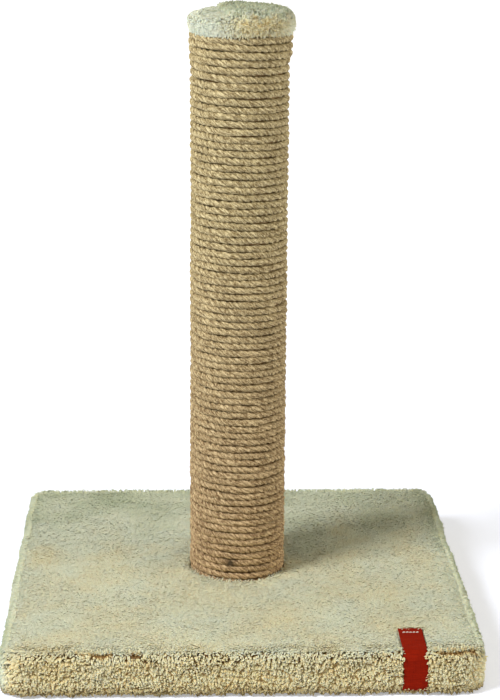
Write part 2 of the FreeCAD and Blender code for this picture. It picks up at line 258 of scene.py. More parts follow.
def paint(red, green, blue):
    """A colour as read from a screen, 0 to 255, turned into the linear light that shaders use."""
    screen = np.array([red, green, blue]) / 255
    linear = np.where(screen <= 0.04045, screen / 12.92, ((screen + 0.055) / 1.055) ** 2.4)
    return (*linear.tolist(), 1.0)


class Nodes:
    """A tree of shader nodes, and short ways to add to it."""

    def __init__(self, tree):
        self.tree = tree

    def fill(self, socket, value):
        """Links a socket to another node's output, or sets its number or colour."""
        if isinstance(value, bpy.types.NodeSocket):
            self.tree.links.new(value, socket)
        else:
            socket.default_value = value

    def add(self, kind, inputs, **settings):
        """A new node with its settings, and its inputs by name or number."""
        node = self.tree.nodes.new(kind)
        for setting, value in settings.items():
            setattr(node, setting, value)
        for socket, value in inputs.items():
            self.fill(node.inputs[socket], value)
        return node

    def spread(self, value, low, high, new_low=0.0, new_high=1.0):
        """Maps low to high onto a new range, and cuts off what is outside it."""
        inputs = {"Value": value, 1: low, 2: high, 3: new_low, 4: new_high}
        return self.add("ShaderNodeMapRange", inputs, clamp=True).outputs["Result"]

    def maths(self, operation, first, second=0.0):
        """One sum on one or two numbers."""
        return self.add("ShaderNodeMath", {0: first, 1: second}, operation=operation).outputs["Value"]

    def mix(self, share, first, second):
        """The first colour with a share of the second mixed into it."""
        return self.add("ShaderNodeMix", {0: share, 6: first, 7: second}, data_type="RGBA").outputs[2]

    def seen(self):
        """One for what the camera sees, straight, in a mirror or through glass, and nought for other
        light."""
        rays = self.add("ShaderNodeLightPath", {}).outputs
        either = self.maths("MAXIMUM", rays["Is Camera Ray"], rays["Is Glossy Ray"])
        return self.maths("MAXIMUM", either, rays["Is Transmission Ray"])


print("screen grey 128 is", round(paint(128, 128, 128)[0], 3), "in linear light")

# %% [markdown]
# A finish is one Principled shader with a few nodes in front of it. Images could carry the patterns too,
# but noise needs no file, has no seams and stays sharp close up.

# %% A finish


class Finish(Nodes):
    """A material with one Principled shader, and short ways to put nodes in front of it."""

    def __init__(self, name, roughness=0.8, specular=0.3, sheen=0.0, metal=0.0):
        self.material = bpy.data.materials.new(name)
        self.material.use_nodes = True
        super().__init__(self.material.node_tree)
        self.shader = self.tree.nodes["Principled BSDF"]
        self.shader.inputs["Roughness"].default_value = roughness
        self.shader.inputs["Specular IOR Level"].default_value = specular
        self.shader.inputs["Sheen Weight"].default_value = sheen
        self.shader.inputs["Metallic"].default_value = metal

    def places(self, scale=(1, 1, 1), vector=None):
        """The piece's own coordinates in metres, or another vector, stretched by the scale."""
        if vector is None:
            vector = self.add("ShaderNodeTexCoord", {}).outputs["Object"]
        return self.add("ShaderNodeMapping", {"Vector": vector, "Scale": scale}).outputs["Vector"]

    def axes(self):
        """The piece's own coordinates as three numbers, X, Y and Z."""
        return self.add("ShaderNodeSeparateXYZ", {0: self.places()}).outputs

    def number(self, name):
        """A number stored at the piece's points."""
        return self.add("ShaderNodeAttribute", {}, attribute_name=name).outputs["Fac"]

    def vector(self, name):
        """A vector stored at the piece's points."""
        return self.add("ShaderNodeAttribute", {}, attribute_name=name).outputs["Vector"]

    def noise(self, places, scale, detail=3.0, rough=0.55):
        """Cloudy noise from 0 to 1, with that many lumps to a unit."""
        inputs = {"Vector": places, "Scale": scale, "Detail": detail, "Roughness": rough}
        return self.add("ShaderNodeTexNoise", inputs).outputs["Fac"]

    def tint(self, colour, other, value, low, high, most=1.0):
        """The colour with another mixed in: none of it where the value is low, and the most where it is
        high."""
        return self.mix(self.spread(value, low, high, 0.0, most), colour, other)

    def bump(self, height, depth, strength=1.0, after=None):
        """Tilts the surface as if it were raised by height times depth, in metres."""
        inputs = {"Height": height, "Distance": depth, "Strength": strength}
        if after is not None:
            inputs["Normal"] = after
        return self.add("ShaderNodeBump", inputs).outputs["Normal"]

    def wear(self, colour, normal=None):
        """Gives the shader its colour and its tilted normal."""
        self.fill(self.shader.inputs["Base Color"], colour)
        if normal is not None:
            self.fill(self.shader.inputs["Normal"], normal)
        return self.material


# %% [markdown]
# The post stands in plain soft light: one large lamp from the front left, a weak one from the right, and a
# pale world, a little warm. The floor is white. Straight from the camera it glows a little, which lifts it
# to the white of the picture's ground, and it still takes the object's shadow because the rest of its light
# comes from the lamps.

# %% Stage and light
white_ground = paint(230, 236, 255)
floor_reach = 6000.0
floor_steps = 9
floor_height = -0.2
white_light = (1.0, 1.0, 1.0)


def make_floor():
    """A flat sheet of a few metres, as one grid. Its glow is only for what the camera sees, and grows
    outwards."""
    steps = np.linspace(-floor_reach, floor_reach, floor_steps)
    x, y = np.meshgrid(steps, steps)
    points = np.stack([x, y, np.full_like(x, floor_height)], axis=-1).reshape(-1, 3)
    floor = make_piece("floor", points, grid_quads(floor_steps, floor_steps, wrap_columns=False))
    finish = Finish("floor_white", roughness=0.9, specular=0.0)
    away = finish.add("ShaderNodeVectorMath", {0: finish.places()}, operation="LENGTH").outputs["Value"]
    level = finish.maths("MULTIPLY", finish.seen(), finish.spread(away, 0.5, 2.0, 0.36, 0.9))
    glow = finish.add("ShaderNodeEmission", {"Color": (*white_light, 1.0), "Strength": level})
    finish.wear(white_ground)
    both = finish.add("ShaderNodeAddShader", {0: finish.shader.outputs["BSDF"], 1: glow.outputs["Emission"]})
    finish.fill(finish.tree.nodes["Material Output"].inputs["Surface"], both.outputs["Shader"])
    floor.data.materials.append(finish.material)
    return floor


def make_world(strength, tint):
    """A world that lights the object with the tint at the strength given, and looks white to the camera and
    in mirrors."""
    world = bpy.data.worlds.new("studio")
    world.use_nodes = True
    nodes = Nodes(world.node_tree)
    ground = nodes.tree.nodes["Background"]
    seen = nodes.seen()
    nodes.fill(ground.inputs["Color"], nodes.mix(seen, (*tint, 1.0), (*white_light, 1.0)))
    nodes.fill(ground.inputs["Strength"], nodes.spread(seen, 0.0, 1.0, strength, 1.0))
    bpy.context.scene.world = world


def make_lamp(name, place, target, size, watts, colour=white_light):
    """A square lamp that faces a point: its axis Z points away from the target."""
    lamp = bpy.data.lights.new(name, "AREA")
    lamp.size = size
    lamp.energy = watts
    lamp.color = colour
    back = np.subtract(place, target).astype(float)
    back /= np.linalg.norm(back)
    side = np.cross(UP, back)
    side /= np.linalg.norm(side)
    aim(add_object(name, lamp), (side, np.cross(back, side), back), place)


floor = make_floor()
make_world(0.38, (1.0, 0.93, 0.75))
make_lamp("key_lamp", (-2280, -1570, 2380), (0, 0, 150), 1.15, 138)
make_lamp("fill_lamp", (2000, -600, 640), (0, 0, 330), 1.2, 24, (1.0, 0.95, 0.86))
print("stage: floor, world and two lamps")

# %% [markdown]
# The rope is sisal, laid from three strands. Its section is three overlapping rounds, and that trefoil
# turns as it goes along, so the strands wind round each other. The centre line is the frame's own winding:
# 77 turns of a left-handed helix, lifted a little near the top where it runs over the cap's skirt and up
# against the cap. The columns of the grid follow the strands, so the grooves stay sharp with few points.
# Four pieces in a row stand for the frame's four spans.

# %% Line of the rope
rope_turns = 77
first_turn = -0.8
foot_height = 34.6
turn_spacing = 6.15
rope_radius = 39.05
rope_bottom = 38.5
rope_lift = 1.15
fold_lift = 1.3
lift_start = 73.22
top_rise = 2.0
rise_start = 67.5
rise_run = 8.5
turn_length = math.hypot(2 * math.pi * rope_radius, turn_spacing)


def rope_line(turn):
    """Centre, heading and outward direction of the winding: a helix of 77 turns that goes clockwise seen
    from above as it climbs, with part of a turn more that lies on the seat, a smooth step outwards and a
    slow rise near the top, and straight runs past its two ends."""
    on_helix = np.clip(turn, first_turn, rope_turns)
    rise = smooth_step((on_helix - rise_start) / rise_run)
    rise = rise - 0.6 * smooth_step((on_helix - rope_turns + 0.5) / 0.5)
    angle = math.radians(90) - 2 * np.pi * (on_helix - rope_turns)
    lift = rope_lift + fold_lift * np.maximum(np.cos(angle), 0)
    radius = rope_radius + lift * smooth_step(on_helix - lift_start)
    outward = np.stack([np.cos(angle), np.sin(angle), np.zeros_like(angle)], axis=-1)
    centre = outward * radius[:, None]
    centre[:, 2] = np.maximum(rope_bottom + turn_spacing * on_helix, foot_height) + top_rise * rise
    flat = 2 * np.pi * rope_radius
    climb = np.full_like(angle, turn_spacing)
    heading = np.stack([flat * np.sin(angle), -flat * np.cos(angle), climb], axis=-1)
    heading /= turn_length
    return centre + heading * ((turn - on_helix) * turn_length)[:, None], heading, outward


print("rope line:", rope_turns, "turns of", round(turn_length, 1), "mm")

# %% [markdown]
# A curve with a bevel would make a plain round rope. This skin is worked out ring by ring, so that the
# strands can swell and thin and carry bundles of fibres, and the turn under the nail is pressed in.

# %% Skin of the rope
rope_thickness = 6.4
strand_lay = 20.0
strand_reach = 0.37
strand_round = 0.63
lobe_angles = np.radians([-60, -43, -22, 0, 22, 43])
section_angles = np.concatenate([lobe_angles + np.radians(120 * strand) for strand in range(3)])
section_lobe = np.tile(lobe_angles, 3)
section_reach = strand_reach * np.cos(section_lobe) + np.sqrt(
    strand_round ** 2 - (strand_reach * np.sin(section_lobe)) ** 2)
low_nail = np.array([-7.3, -41.3, 54.05])


def rope_rings(turn):
    """Points of the rope's section along the turns: centre plus reach times the outward and across
    directions at the section's angle, which grows with the distance along the rope by one turn in a
    strand's lay. Each strand swells and thins by itself, and bundles of fibres raise it a little."""
    centre, heading, outward = rope_line(turn)
    across = np.cross(heading, outward)
    along = turn * turn_length
    centre = centre + outward * (0.3 * soft_noise(along[:, None], 90, 11))[:, None]
    centre[:, 2] += 0.4 * soft_noise(along[:, None], 130, 12) + 0.25 * soft_noise(along[:, None], 37, 10)
    half = rope_thickness / 2 * (1 + 0.08 * soft_noise(along[:, None], 30, 13))
    pressed = np.exp(-((centre - low_nail) ** 2).sum(axis=1) / 30.0)
    half = half * (1 - 0.16 * pressed) * (1 + 0.045 * smooth_step((turn - rise_start) / 2))
    strands = np.stack([soft_noise(along[:, None], 28, 15 + strand) for strand in range(3)], axis=-1)
    lay = 2 * np.pi * along / strand_lay + 1.4 * soft_noise(along[:, None], 60, 14)
    angle = lay[:, None] + section_angles[None, :]
    fibre_angle = section_angles[None, :] + 0.1 * lay[:, None]
    fibre = np.stack([np.cos(fibre_angle) * 3, np.sin(fibre_angle) * 3,
                      np.broadcast_to(along[:, None], angle.shape)], axis=-1)
    streak = soft_noise(fibre.reshape(-1, 3) * [1, 1, 0.25], 2.1, 18, waves=24).reshape(angle.shape)
    swell = 1 + 0.05 * np.repeat(strands, len(lobe_angles), axis=1) + 0.05 * streak
    reach = half[:, None] * section_reach[None, :] * swell
    points = centre[:, None, :] + reach[..., None] * (
        np.cos(angle)[..., None] * outward[:, None, :] + np.sin(angle)[..., None] * across[:, None, :])
    return points, centre, fibre, pressed, streak


print("rope section:", len(section_angles), "points round it")

# %% [markdown]
# The winding is cut into four pieces, as in the frame, which keeps each of them light. A pattern that
# follows a rope for metres needs room in its texture map, so the map is cut into strips.

# %% Wind the rope
rope_spans = 4
rope_end_run = 5.7
ring_step = 1.15
bake_strips = 16


def rope_bake_map(piece, rows, columns):
    """A map that lays the rope's skin out in equal strips, one above the other."""
    point, face_start, face = face_corners(piece)
    row = np.minimum(point // columns, rows - 1)
    column = unrolled(point % columns, columns, face_start, face)
    rows_a_strip = math.ceil(rows / bake_strips)
    strip = np.minimum.reduceat(row, face_start)[face] // rows_a_strip
    across = (row - strip * rows_a_strip) / (rows_a_strip + 1)
    write_bake_map(piece, across, (strip + 0.04 + 0.92 * column / columns) / bake_strips)


def wind_rope(span):
    """One span of the winding as a closed tube: rings of the trefoil section, and a fan over each end."""
    ends = np.linspace(0, rope_turns, rope_spans + 1)
    ends[0] = first_turn - rope_end_run / turn_length
    ends[-1] += rope_end_run / turn_length
    first, last = ends[span:span + 2]
    rows = math.ceil((last - first) * turn_length / ring_step)
    columns = len(section_angles)
    turn = np.linspace(first, last, rows)
    points, centre, fibre, pressed, streak = rope_rings(turn)
    points = np.concatenate([points.reshape(-1, 3), centre[[0, -1]]])
    rope = make_piece(f"rope_wound_{span + 1}", points, grid_quads(rows, columns), end_fans(rows, columns))
    tips = np.zeros(2)
    crest = (section_reach - section_reach.min()) / np.ptp(section_reach)
    add_number(rope, "crest", np.concatenate([np.tile(crest, rows), tips]))
    add_number(rope, "pressed", np.concatenate([np.repeat(pressed, columns), tips]))
    add_number(rope, "streak", np.concatenate([streak.ravel(), tips]))
    add_vector(rope, "fibre", np.concatenate([fibre.reshape(-1, 3), np.zeros((2, 3))]))
    rope_bake_map(rope, rows, columns)
    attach(rope, "post")
    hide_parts(f"rope_span_{span + 1}")
    return rope


ropes = [wind_rope(span) for span in range(rope_spans)]
print("rope:", [triangle_count(rope) for rope in ropes], "triangles")
print("rope length:", round(rope_turns * turn_length), "mm")

# %% [markdown]
# Sisal is straw gold with paler and browner fibres. Its grooves are painted darker, which is painted shade,
# and so is the rope round the low nail, where it is pressed in. Near the foot it is browner and a little
# pink. The fibre coordinate runs round the rope and along it, so noise squeezed along the rope draws fibres
# that follow the strands, with no seam. The bundles that raise the surface are also paler than their gaps.

# %% Rope finish


def make_sisal():
    """Gold fibres with straw and brown ones laid over them, from coarse bundles to fine flecks."""
    finish = Finish("sisal_rope", roughness=0.75, specular=0.2)
    fibre = finish.vector("fibre")
    streaks = finish.places((1.0, 1.0, 0.12), fibre)
    coarse = finish.noise(streaks, 0.75, detail=4.0, rough=0.65)
    fine = finish.noise(streaks, 2.2, detail=4.0, rough=0.75)
    flecks = finish.noise(finish.places((1.0, 1.0, 0.5), fibre), 0.95, detail=3.0, rough=0.85)
    patches = finish.noise(finish.places((1, 1, 2.5)), 26.0, detail=2.0)
    bundles = finish.number("streak")
    browner = finish.spread(finish.axes()["Z"], 0.36, 0.02)
    gold = finish.mix(browner, paint(145, 127, 84), paint(143, 113, 77))
    straw = finish.mix(browner, paint(218, 203, 158), paint(208, 180, 140))
    brown = finish.mix(browner, paint(94, 75, 43), paint(88, 61, 38))
    colour = finish.tint(gold, straw, bundles, 0.0, 0.75, 0.8)
    colour = finish.tint(colour, brown, bundles, -0.1, -0.8, 0.75)
    colour = finish.tint(colour, brown, coarse, 0.46, 0.3, 0.7)
    colour = finish.tint(colour, brown, patches, 0.5, 0.75, 0.3)
    colour = finish.tint(colour, straw, fine, 0.48, 0.66, 0.85)
    colour = finish.tint(colour, brown, fine, 0.46, 0.3, 0.8)
    colour = finish.tint(colour, straw, flecks, 0.5, 0.63, 0.95)
    colour = finish.tint(colour, brown, flecks, 0.5, 0.37, 0.95)
    # Painted shade: the grooves between the strands, where the crest number is low, are darkened.
    colour = finish.tint(colour, paint(84, 64, 36), finish.number("crest"), 0.45, 0.0, 0.4)
    # Painted shade: the rope round the low nail, where it is pressed in, is darkened.
    colour = finish.tint(colour, paint(62, 44, 24), finish.number("pressed"), 0.1, 0.9, 0.8)
    normal = finish.bump(coarse, 0.0006, 0.6)
    return finish.wear(colour, finish.bump(fine, 0.0004, 0.8, normal))


sisal = make_sisal()
for rope in ropes:
    rope.data.materials.append(sisal)
print("rope finish:", len(sisal.node_tree.nodes), "nodes")

# %% [markdown]
# Plush is a backing cloth with pile on it. Pile could be a hair system, but hair isn't a mesh and wouldn't
# be kept, so each lock of pile is a small closed tube of its own: a spine that leaves the cloth, bends over
# and ends in a tip, with a ring of a few corners at each station. All locks of a piece are one array.

# %% Locks of pile


def unit(vectors):
    """Vectors divided by their lengths."""
    return vectors / np.maximum(np.linalg.norm(vectors, axis=-1, keepdims=True), 1e-9)


def lock_spines(roots, normals, leans, lengths, first_tilt, last_tilt, swirl, stations):
    """Spines that start at the roots and take equal steps. A step's tilt from the normal goes from
    first_tilt to last_tilt along the lock, and the direction it tilts to turns by swirl on the way."""
    sides = np.cross(normals, leans)
    spines = [roots]
    bends = [leans]
    for step in range(stations - 1):
        share = (step + 0.5) / (stations - 1)
        tilt = (first_tilt + (last_tilt - first_tilt) * share)[:, None]
        turn = (swirl * share)[:, None]
        bend = np.cos(turn) * leans + np.sin(turn) * sides
        stride = (lengths / (stations - 1))[:, None]
        spines.append(spines[-1] + stride * (np.cos(tilt) * normals + np.sin(tilt) * bend))
        bends.append(bend)
    return np.stack(spines, axis=1), np.cross(normals[:, None, :], np.stack(bends, axis=1))


def tube_rings(spines, sides, widths, corners, flatness):
    """Rings round every station but the last, then the last as the tip: spine plus half the width times the
    side and upper directions at each corner's angle, the upper one shortened by flatness. The first
    corner is on top. Points run lock by lock, ring by ring."""
    heading = unit(np.gradient(spines, axis=1))
    upper = flatness * np.cross(heading, sides)
    angle = 2 * np.pi * np.arange(corners) / corners + np.pi / 2
    ring = np.cos(angle)[:, None] * sides[:, :-1, None, :] + np.sin(angle)[:, None] * upper[:, :-1, None, :]
    points = spines[:, :-1, None, :] + widths[:, :, None, None] / 2 * ring
    return np.concatenate([points.reshape(len(spines), -1, 3), spines[:, -1:]], axis=1)


def tube_faces(count, stations, corners):
    """Faces of that many tubes: quads between rings, triangles to the tip, and a fan over the root."""
    rings = stations - 1
    each = rings * corners + 1
    quads = grid_quads(rings, corners)
    around = np.arange(corners)
    last = around + (rings - 1) * corners
    tip = np.stack([last, np.roll(last, -1), np.full(corners, each - 1)], axis=-1)
    fan = np.arange(1, corners - 1)
    root = np.stack([np.zeros_like(fan), fan + 1, fan], axis=-1)
    shift = (np.arange(count) * each)[:, None, None]
    return (quads[None] + shift).reshape(-1, 4), (np.concatenate([tip, root])[None] + shift).reshape(-1, 3)


print("a lock of 4 stations and 3 corners has", sum(map(len, tube_faces(1, 4, 3))), "faces")

# %% [markdown]
# Each lock gets a small cell of one square map, for textures. Light wanders about in real pile and evens out,
# which separate locks don't show by themselves, so their normals are mixed with the way the cloth faces.

# %% Maps and normals of locks


def pile_bake_map(piece, count, stations, corners):
    """A map that gives every lock a cell of its own in a square of cells."""
    point, face_start, face = face_corners(piece)
    each = (stations - 1) * corners + 1
    lock = point // each
    within = point % each
    across = unrolled(within % corners, corners, face_start, face) / corners
    up = (within // corners) / (stations - 1)
    cells = math.ceil(math.sqrt(count))
    across = (lock % cells + 0.1 + 0.8 * across) / cells
    write_bake_map(piece, across, (lock // cells + 0.1 + 0.8 * up) / cells)


def soften(piece, facing, share):
    """Gives a piece's points normals that are a mix of their own and a share of the way the cloth under
    them faces, which is how light that wanders through a thick pile evens it out."""
    own = np.empty(3 * len(facing), dtype=np.float32)
    piece.data.vertex_normals.foreach_get("vector", own)
    mixed = unit((1 - share)[:, None] * own.reshape(-1, 3) + share[:, None] * facing)
    piece.data.normals_split_custom_set_from_vertices(mixed.tolist())


# %% [markdown]
# Unbrushed pile gathers in clumps: neighbouring locks lean to one middle, and stray together. Hair systems
# have a setting for this. Here each root looks for its nearest middle.

# %% Clumps of locks


def nearest(places, centres):
    """The number of the nearest centre to each place, some two thousand places at a time."""
    size = (centres ** 2).sum(axis=1)[None, :]
    parts = np.array_split(places, len(places) // 2000 + 1)
    return np.concatenate([(size - 2 * part @ centres.T).argmin(axis=1) for part in parts])


def gathered(roots, normals, centres, pull, stray, chance):
    """How far sideways the tips of locks go when the locks are gathered in clumps: a share of the way to
    the nearest clump's middle, plus a stray in any direction that the whole clump has. Also how near its
    clump's edge a lock is."""
    own = nearest(roots, centres)
    inward = centres[own] - roots
    drift = pull * inward + stray * unit(chance.normal(0, 1, centres.shape))[own]
    drift -= normals * np.einsum("ij,ij->i", drift, normals)[:, None]
    reach = np.linalg.norm(inward, axis=1)
    return drift, np.clip(reach / np.percentile(reach, 97), 0, 1)


def bend_to(drift, lengths):
    """The way locks lean, and their first and last tilts, when their tips go sideways by about the
    drift."""
    tilt = np.arcsin(np.clip(np.linalg.norm(drift, axis=1) / lengths, 0.05, 0.96))
    return {"leans": unit(drift), "first_tilt": 0.65 * tilt, "last_tilt": 1.35 * tilt}


# %% [markdown]
# With these helpers a piece of pile is a set of named arrays with a row for each lock. That makes it easy
# to take some of the locks for one piece and the rest for another.

# %% A piece of pile


def pick(locks, own):
    """The same arrays for some of the locks only."""
    return {name: values[own] for name, values in locks.items()}


def grow_pile(name, locks, taper, corners, flatness, lowest=None):
    """A piece of pile: a lock at each root. The taper gives the width of each ring as a share of the lock's
    own width, and lowest is a height that nothing goes under."""
    stations = len(taper) + 1
    count = len(locks["roots"])
    shape = ("roots", "normals", "leans", "lengths", "first_tilt", "last_tilt", "swirl")
    spines, sides = lock_spines(*[locks[key] for key in shape], stations)
    widths = locks["widths"][:, None] * np.asarray(taper)[None, :]
    points = tube_rings(spines, sides, widths, corners, flatness).reshape(-1, 3)
    if lowest is not None:
        points[:, 2] = np.maximum(points[:, 2], lowest)
    piece = make_piece(name, points, *tube_faces(count, stations, corners))
    rise = np.append(np.repeat(np.arange(stations - 1), corners), stations - 1) / (stations - 1)
    # A lock's brown makes the number fall below nought towards its root, which the finish paints brown as
    # painted shade in the gaps.
    tip = locks["pale"][:, None] * rise[None, :] - locks["brown"][:, None] * (1 - rise[None, :])
    add_number(piece, "tip", tip)
    for label, key in (("tone", "tones"), ("warmth_and_shade", "warmth_and_shade")):
        add_number(piece, label, np.repeat(locks[key], len(rise)))
    pile_bake_map(piece, count, stations, corners)
    soften(piece, np.repeat(locks["facing"], len(rise), axis=0), np.repeat(locks["softness"], len(rise)))
    return piece


def scattered(width, height, spacing, chance):
    """Places over a rectangle: a grid with every other row shifted by half a step, each place moved at
    random."""
    rise = spacing * math.sqrt(3) / 2
    column, row = np.meshgrid(np.arange(int(width / spacing) + 1), np.arange(int(height / rise) + 1))
    places = np.stack([(column + 0.5 * (row % 2)) * spacing, row * rise], axis=-1).reshape(-1, 2)
    return places + chance.uniform(-0.42, 0.42, places.shape) * spacing


sample = scattered(100, 100, 1.8, np.random.default_rng(1))
print("a square decimetre holds", len(sample), "locks 1.8 mm apart")

# %% [markdown]
# The base cover is one plush cloth drawn over the board and stapled under it. Its backing is a ring of
# outlines: from the bolt hole out over the pressed seat of the post, up to the pile, over the edge, down
# the side, under the board to the hem, and back along the board. Each outline is a rounded square, a circle
# or something between, so the whole is a grid that closes on itself both ways.

# %% Sizes of the base
base_half = 200.0
cover_corner = 22.0
cover_top = 39.2
print("base:", 2 * base_half, "mm wide,", cover_top, "mm high")

# %% [markdown]
# From above the base is a square with rounded corners, and the post's seat in its middle is a circle. Every
# outline has the same number of points, so one can turn into another row by row.

# %% Outlines of the base
columns_a_side = 110
straight_columns = 100


def square_outline(share, half, corner):
    """A point and the outward direction on a rounded square. The share goes once round from 0 to 1; in each
    quarter the first part runs along a side and the rest round the next corner."""
    straight = straight_columns / columns_a_side
    quarter = np.floor(share * 4)
    within = share * 4 - quarter
    reach = half - corner
    run = np.clip(within / straight, 0, 1) * 2 - 1
    bend = np.clip((within - straight) / (1 - straight), 0, 1) * np.pi / 2
    x = run * reach + corner * np.sin(bend)
    y = -reach - corner * np.cos(bend)
    turn = quarter * np.pi / 2
    place = np.stack([x * np.cos(turn) - y * np.sin(turn), x * np.sin(turn) + y * np.cos(turn)], axis=-1)
    facing = np.stack([np.sin(bend + turn), -np.cos(bend + turn)], axis=-1)
    return place, facing


outline_share = np.arange(4 * columns_a_side) / (4 * columns_a_side)
outline_way = unit(square_outline(outline_share, base_half, cover_corner)[0])


def outline_ring(half, corner, height, roundness):
    """One outline at a height: a circle's points times roundness plus a rounded square's times the rest."""
    square, _ = square_outline(outline_share, half, corner)
    flat = roundness * half * outline_way + (1 - roundness) * square
    return np.column_stack([flat, np.full(len(flat), height)])


print("outline:", len(outline_share), "points")

# %% [markdown]
# Over the edge the cloth makes a round, a straight side and a smaller round under the board. A bevel could
# make the edge, but the pile's roots follow it too, so it is a formula of the distance along the cloth.

# %% Edge of the cloth
top_round = 9.0
bottom_round = 5.0
pile_depth = 1.5
curl_depth = 2.6


def edge_section(distance):
    """The cloth's section at the edge of the base, by the distance along it from the top: how far out it
    is, how high, and how far its normal is tilted from straight up. A quarter of an ellipse, a straight
    side, a quarter round."""
    over_out = top_round - curl_depth
    over_up = top_round - pile_depth
    under = bottom_round - 1.2
    first = (over_out + over_up) / 2 * np.pi / 2
    side = cover_top - top_round - bottom_round
    top_turn = np.clip(distance / first, 0, 1) * np.pi / 2
    down = np.clip(distance - first, 0, side)
    low_turn = np.clip((distance - first - side) / under, 0, np.pi / 2)
    out = base_half - top_round + over_out * np.sin(top_turn) - under * (1 - np.cos(low_turn))
    height = cover_top - top_round + over_up * np.cos(top_turn) - down - under * np.sin(low_turn)
    return out, height, top_turn + low_turn


print("half way down its edge the cloth is at", [round(float(part), 1) for part in edge_section(19.0)[:2]])

# %% [markdown]
# Brushing, pressing and stapling leave shallow lumps, and the ribbon lies in a groove. The top is warmer in
# patches. All of these are fields over the place, so the cloth and its pile agree.

# %% Lumps and colours of the cloth
tag_x = 139.5
tag_width = 20.0
tag_top = -148.0


def under_tag(places):
    """One under the ribbon, nought away from it, with a slope of a few millimetres round its sides and top
    end."""
    beside = smooth_step((tag_width / 2 + 3.2 - np.abs(places[:, 0] - tag_x)) / 3.0)
    return beside * smooth_step((tag_top + 2.0 - places[:, 1]) / 3.0)


def top_lumps(x, y):
    """How far the top's cloth rises or dips where the pile was brushed or pressed, with a groove for the
    ribbon."""
    places = np.stack([x, y], axis=-1)
    pressed = under_tag(places)
    lumps = 0.45 * soft_noise(places, 70, 21) + 0.22 * soft_noise(places, 24, 22)
    return lumps * (1 - pressed) - 2.0 * pressed


def side_lumps(places):
    """How far the side's cloth swells or draws in between the staples, with a groove for the ribbon in
    front."""
    pressed = under_tag(places)
    lumps = 0.7 * soft_noise(places, 55, 23) + 0.4 * soft_noise(places, 18, 24)
    return lumps * (1 - pressed) - 1.2 * pressed


def drawn_in(y, distance):
    """How far the cloth is drawn in on the sides other than the front, which leaves room for their pile."""
    return 1.4 * smooth_step((y + base_half - 6) / 18) * smooth_step(distance / 8)


def top_warmth_and_shade(places):
    """How warm the top's colour is: a few warm patches, mostly in front. Towards the back it turns cooler and
    greener, and darker as painted shade where the light falls off.
    """
    behind = np.clip((places[:, 1] - 20) / 150, 0, 1)
    patches = 0.16 * soft_noise(places, 75, 33) + 0.08 * soft_noise(places, 26, 34)
    return 0.25 + patches - (0.6 - 0.14 * places[:, 0] / base_half) * behind


sample = top_warmth_and_shade(np.array([[0.0, -180.0], [0.0, 180.0]]))
print("warmth at the front and at the back:", sample.round(2))

# %% [markdown]
# Now the cover itself, which could be a cloth thrown over a box and shrunk onto it. Stretched plush has no
# folds, so rows of outlines in one closed grid do as well and keep their places exactly.

# %% Base cover
seat_radius = 42.9
seat_height = 31.2
seat_lip = ((42.7, 32.0), (42.8, 34.5), (43.2, 36.9))
pile_start = 44.2
bolt_hole = 5.0
under_post = 16.0
board_half = 190.0
board_side = board_half + 0.1
board_bottom = 3.8
board_top = 28.8
hem_half = 155.0
hem_corner = 12.0
lining_half = 185.0
lining_thickness = 0.8
cloth_gap = 0.05


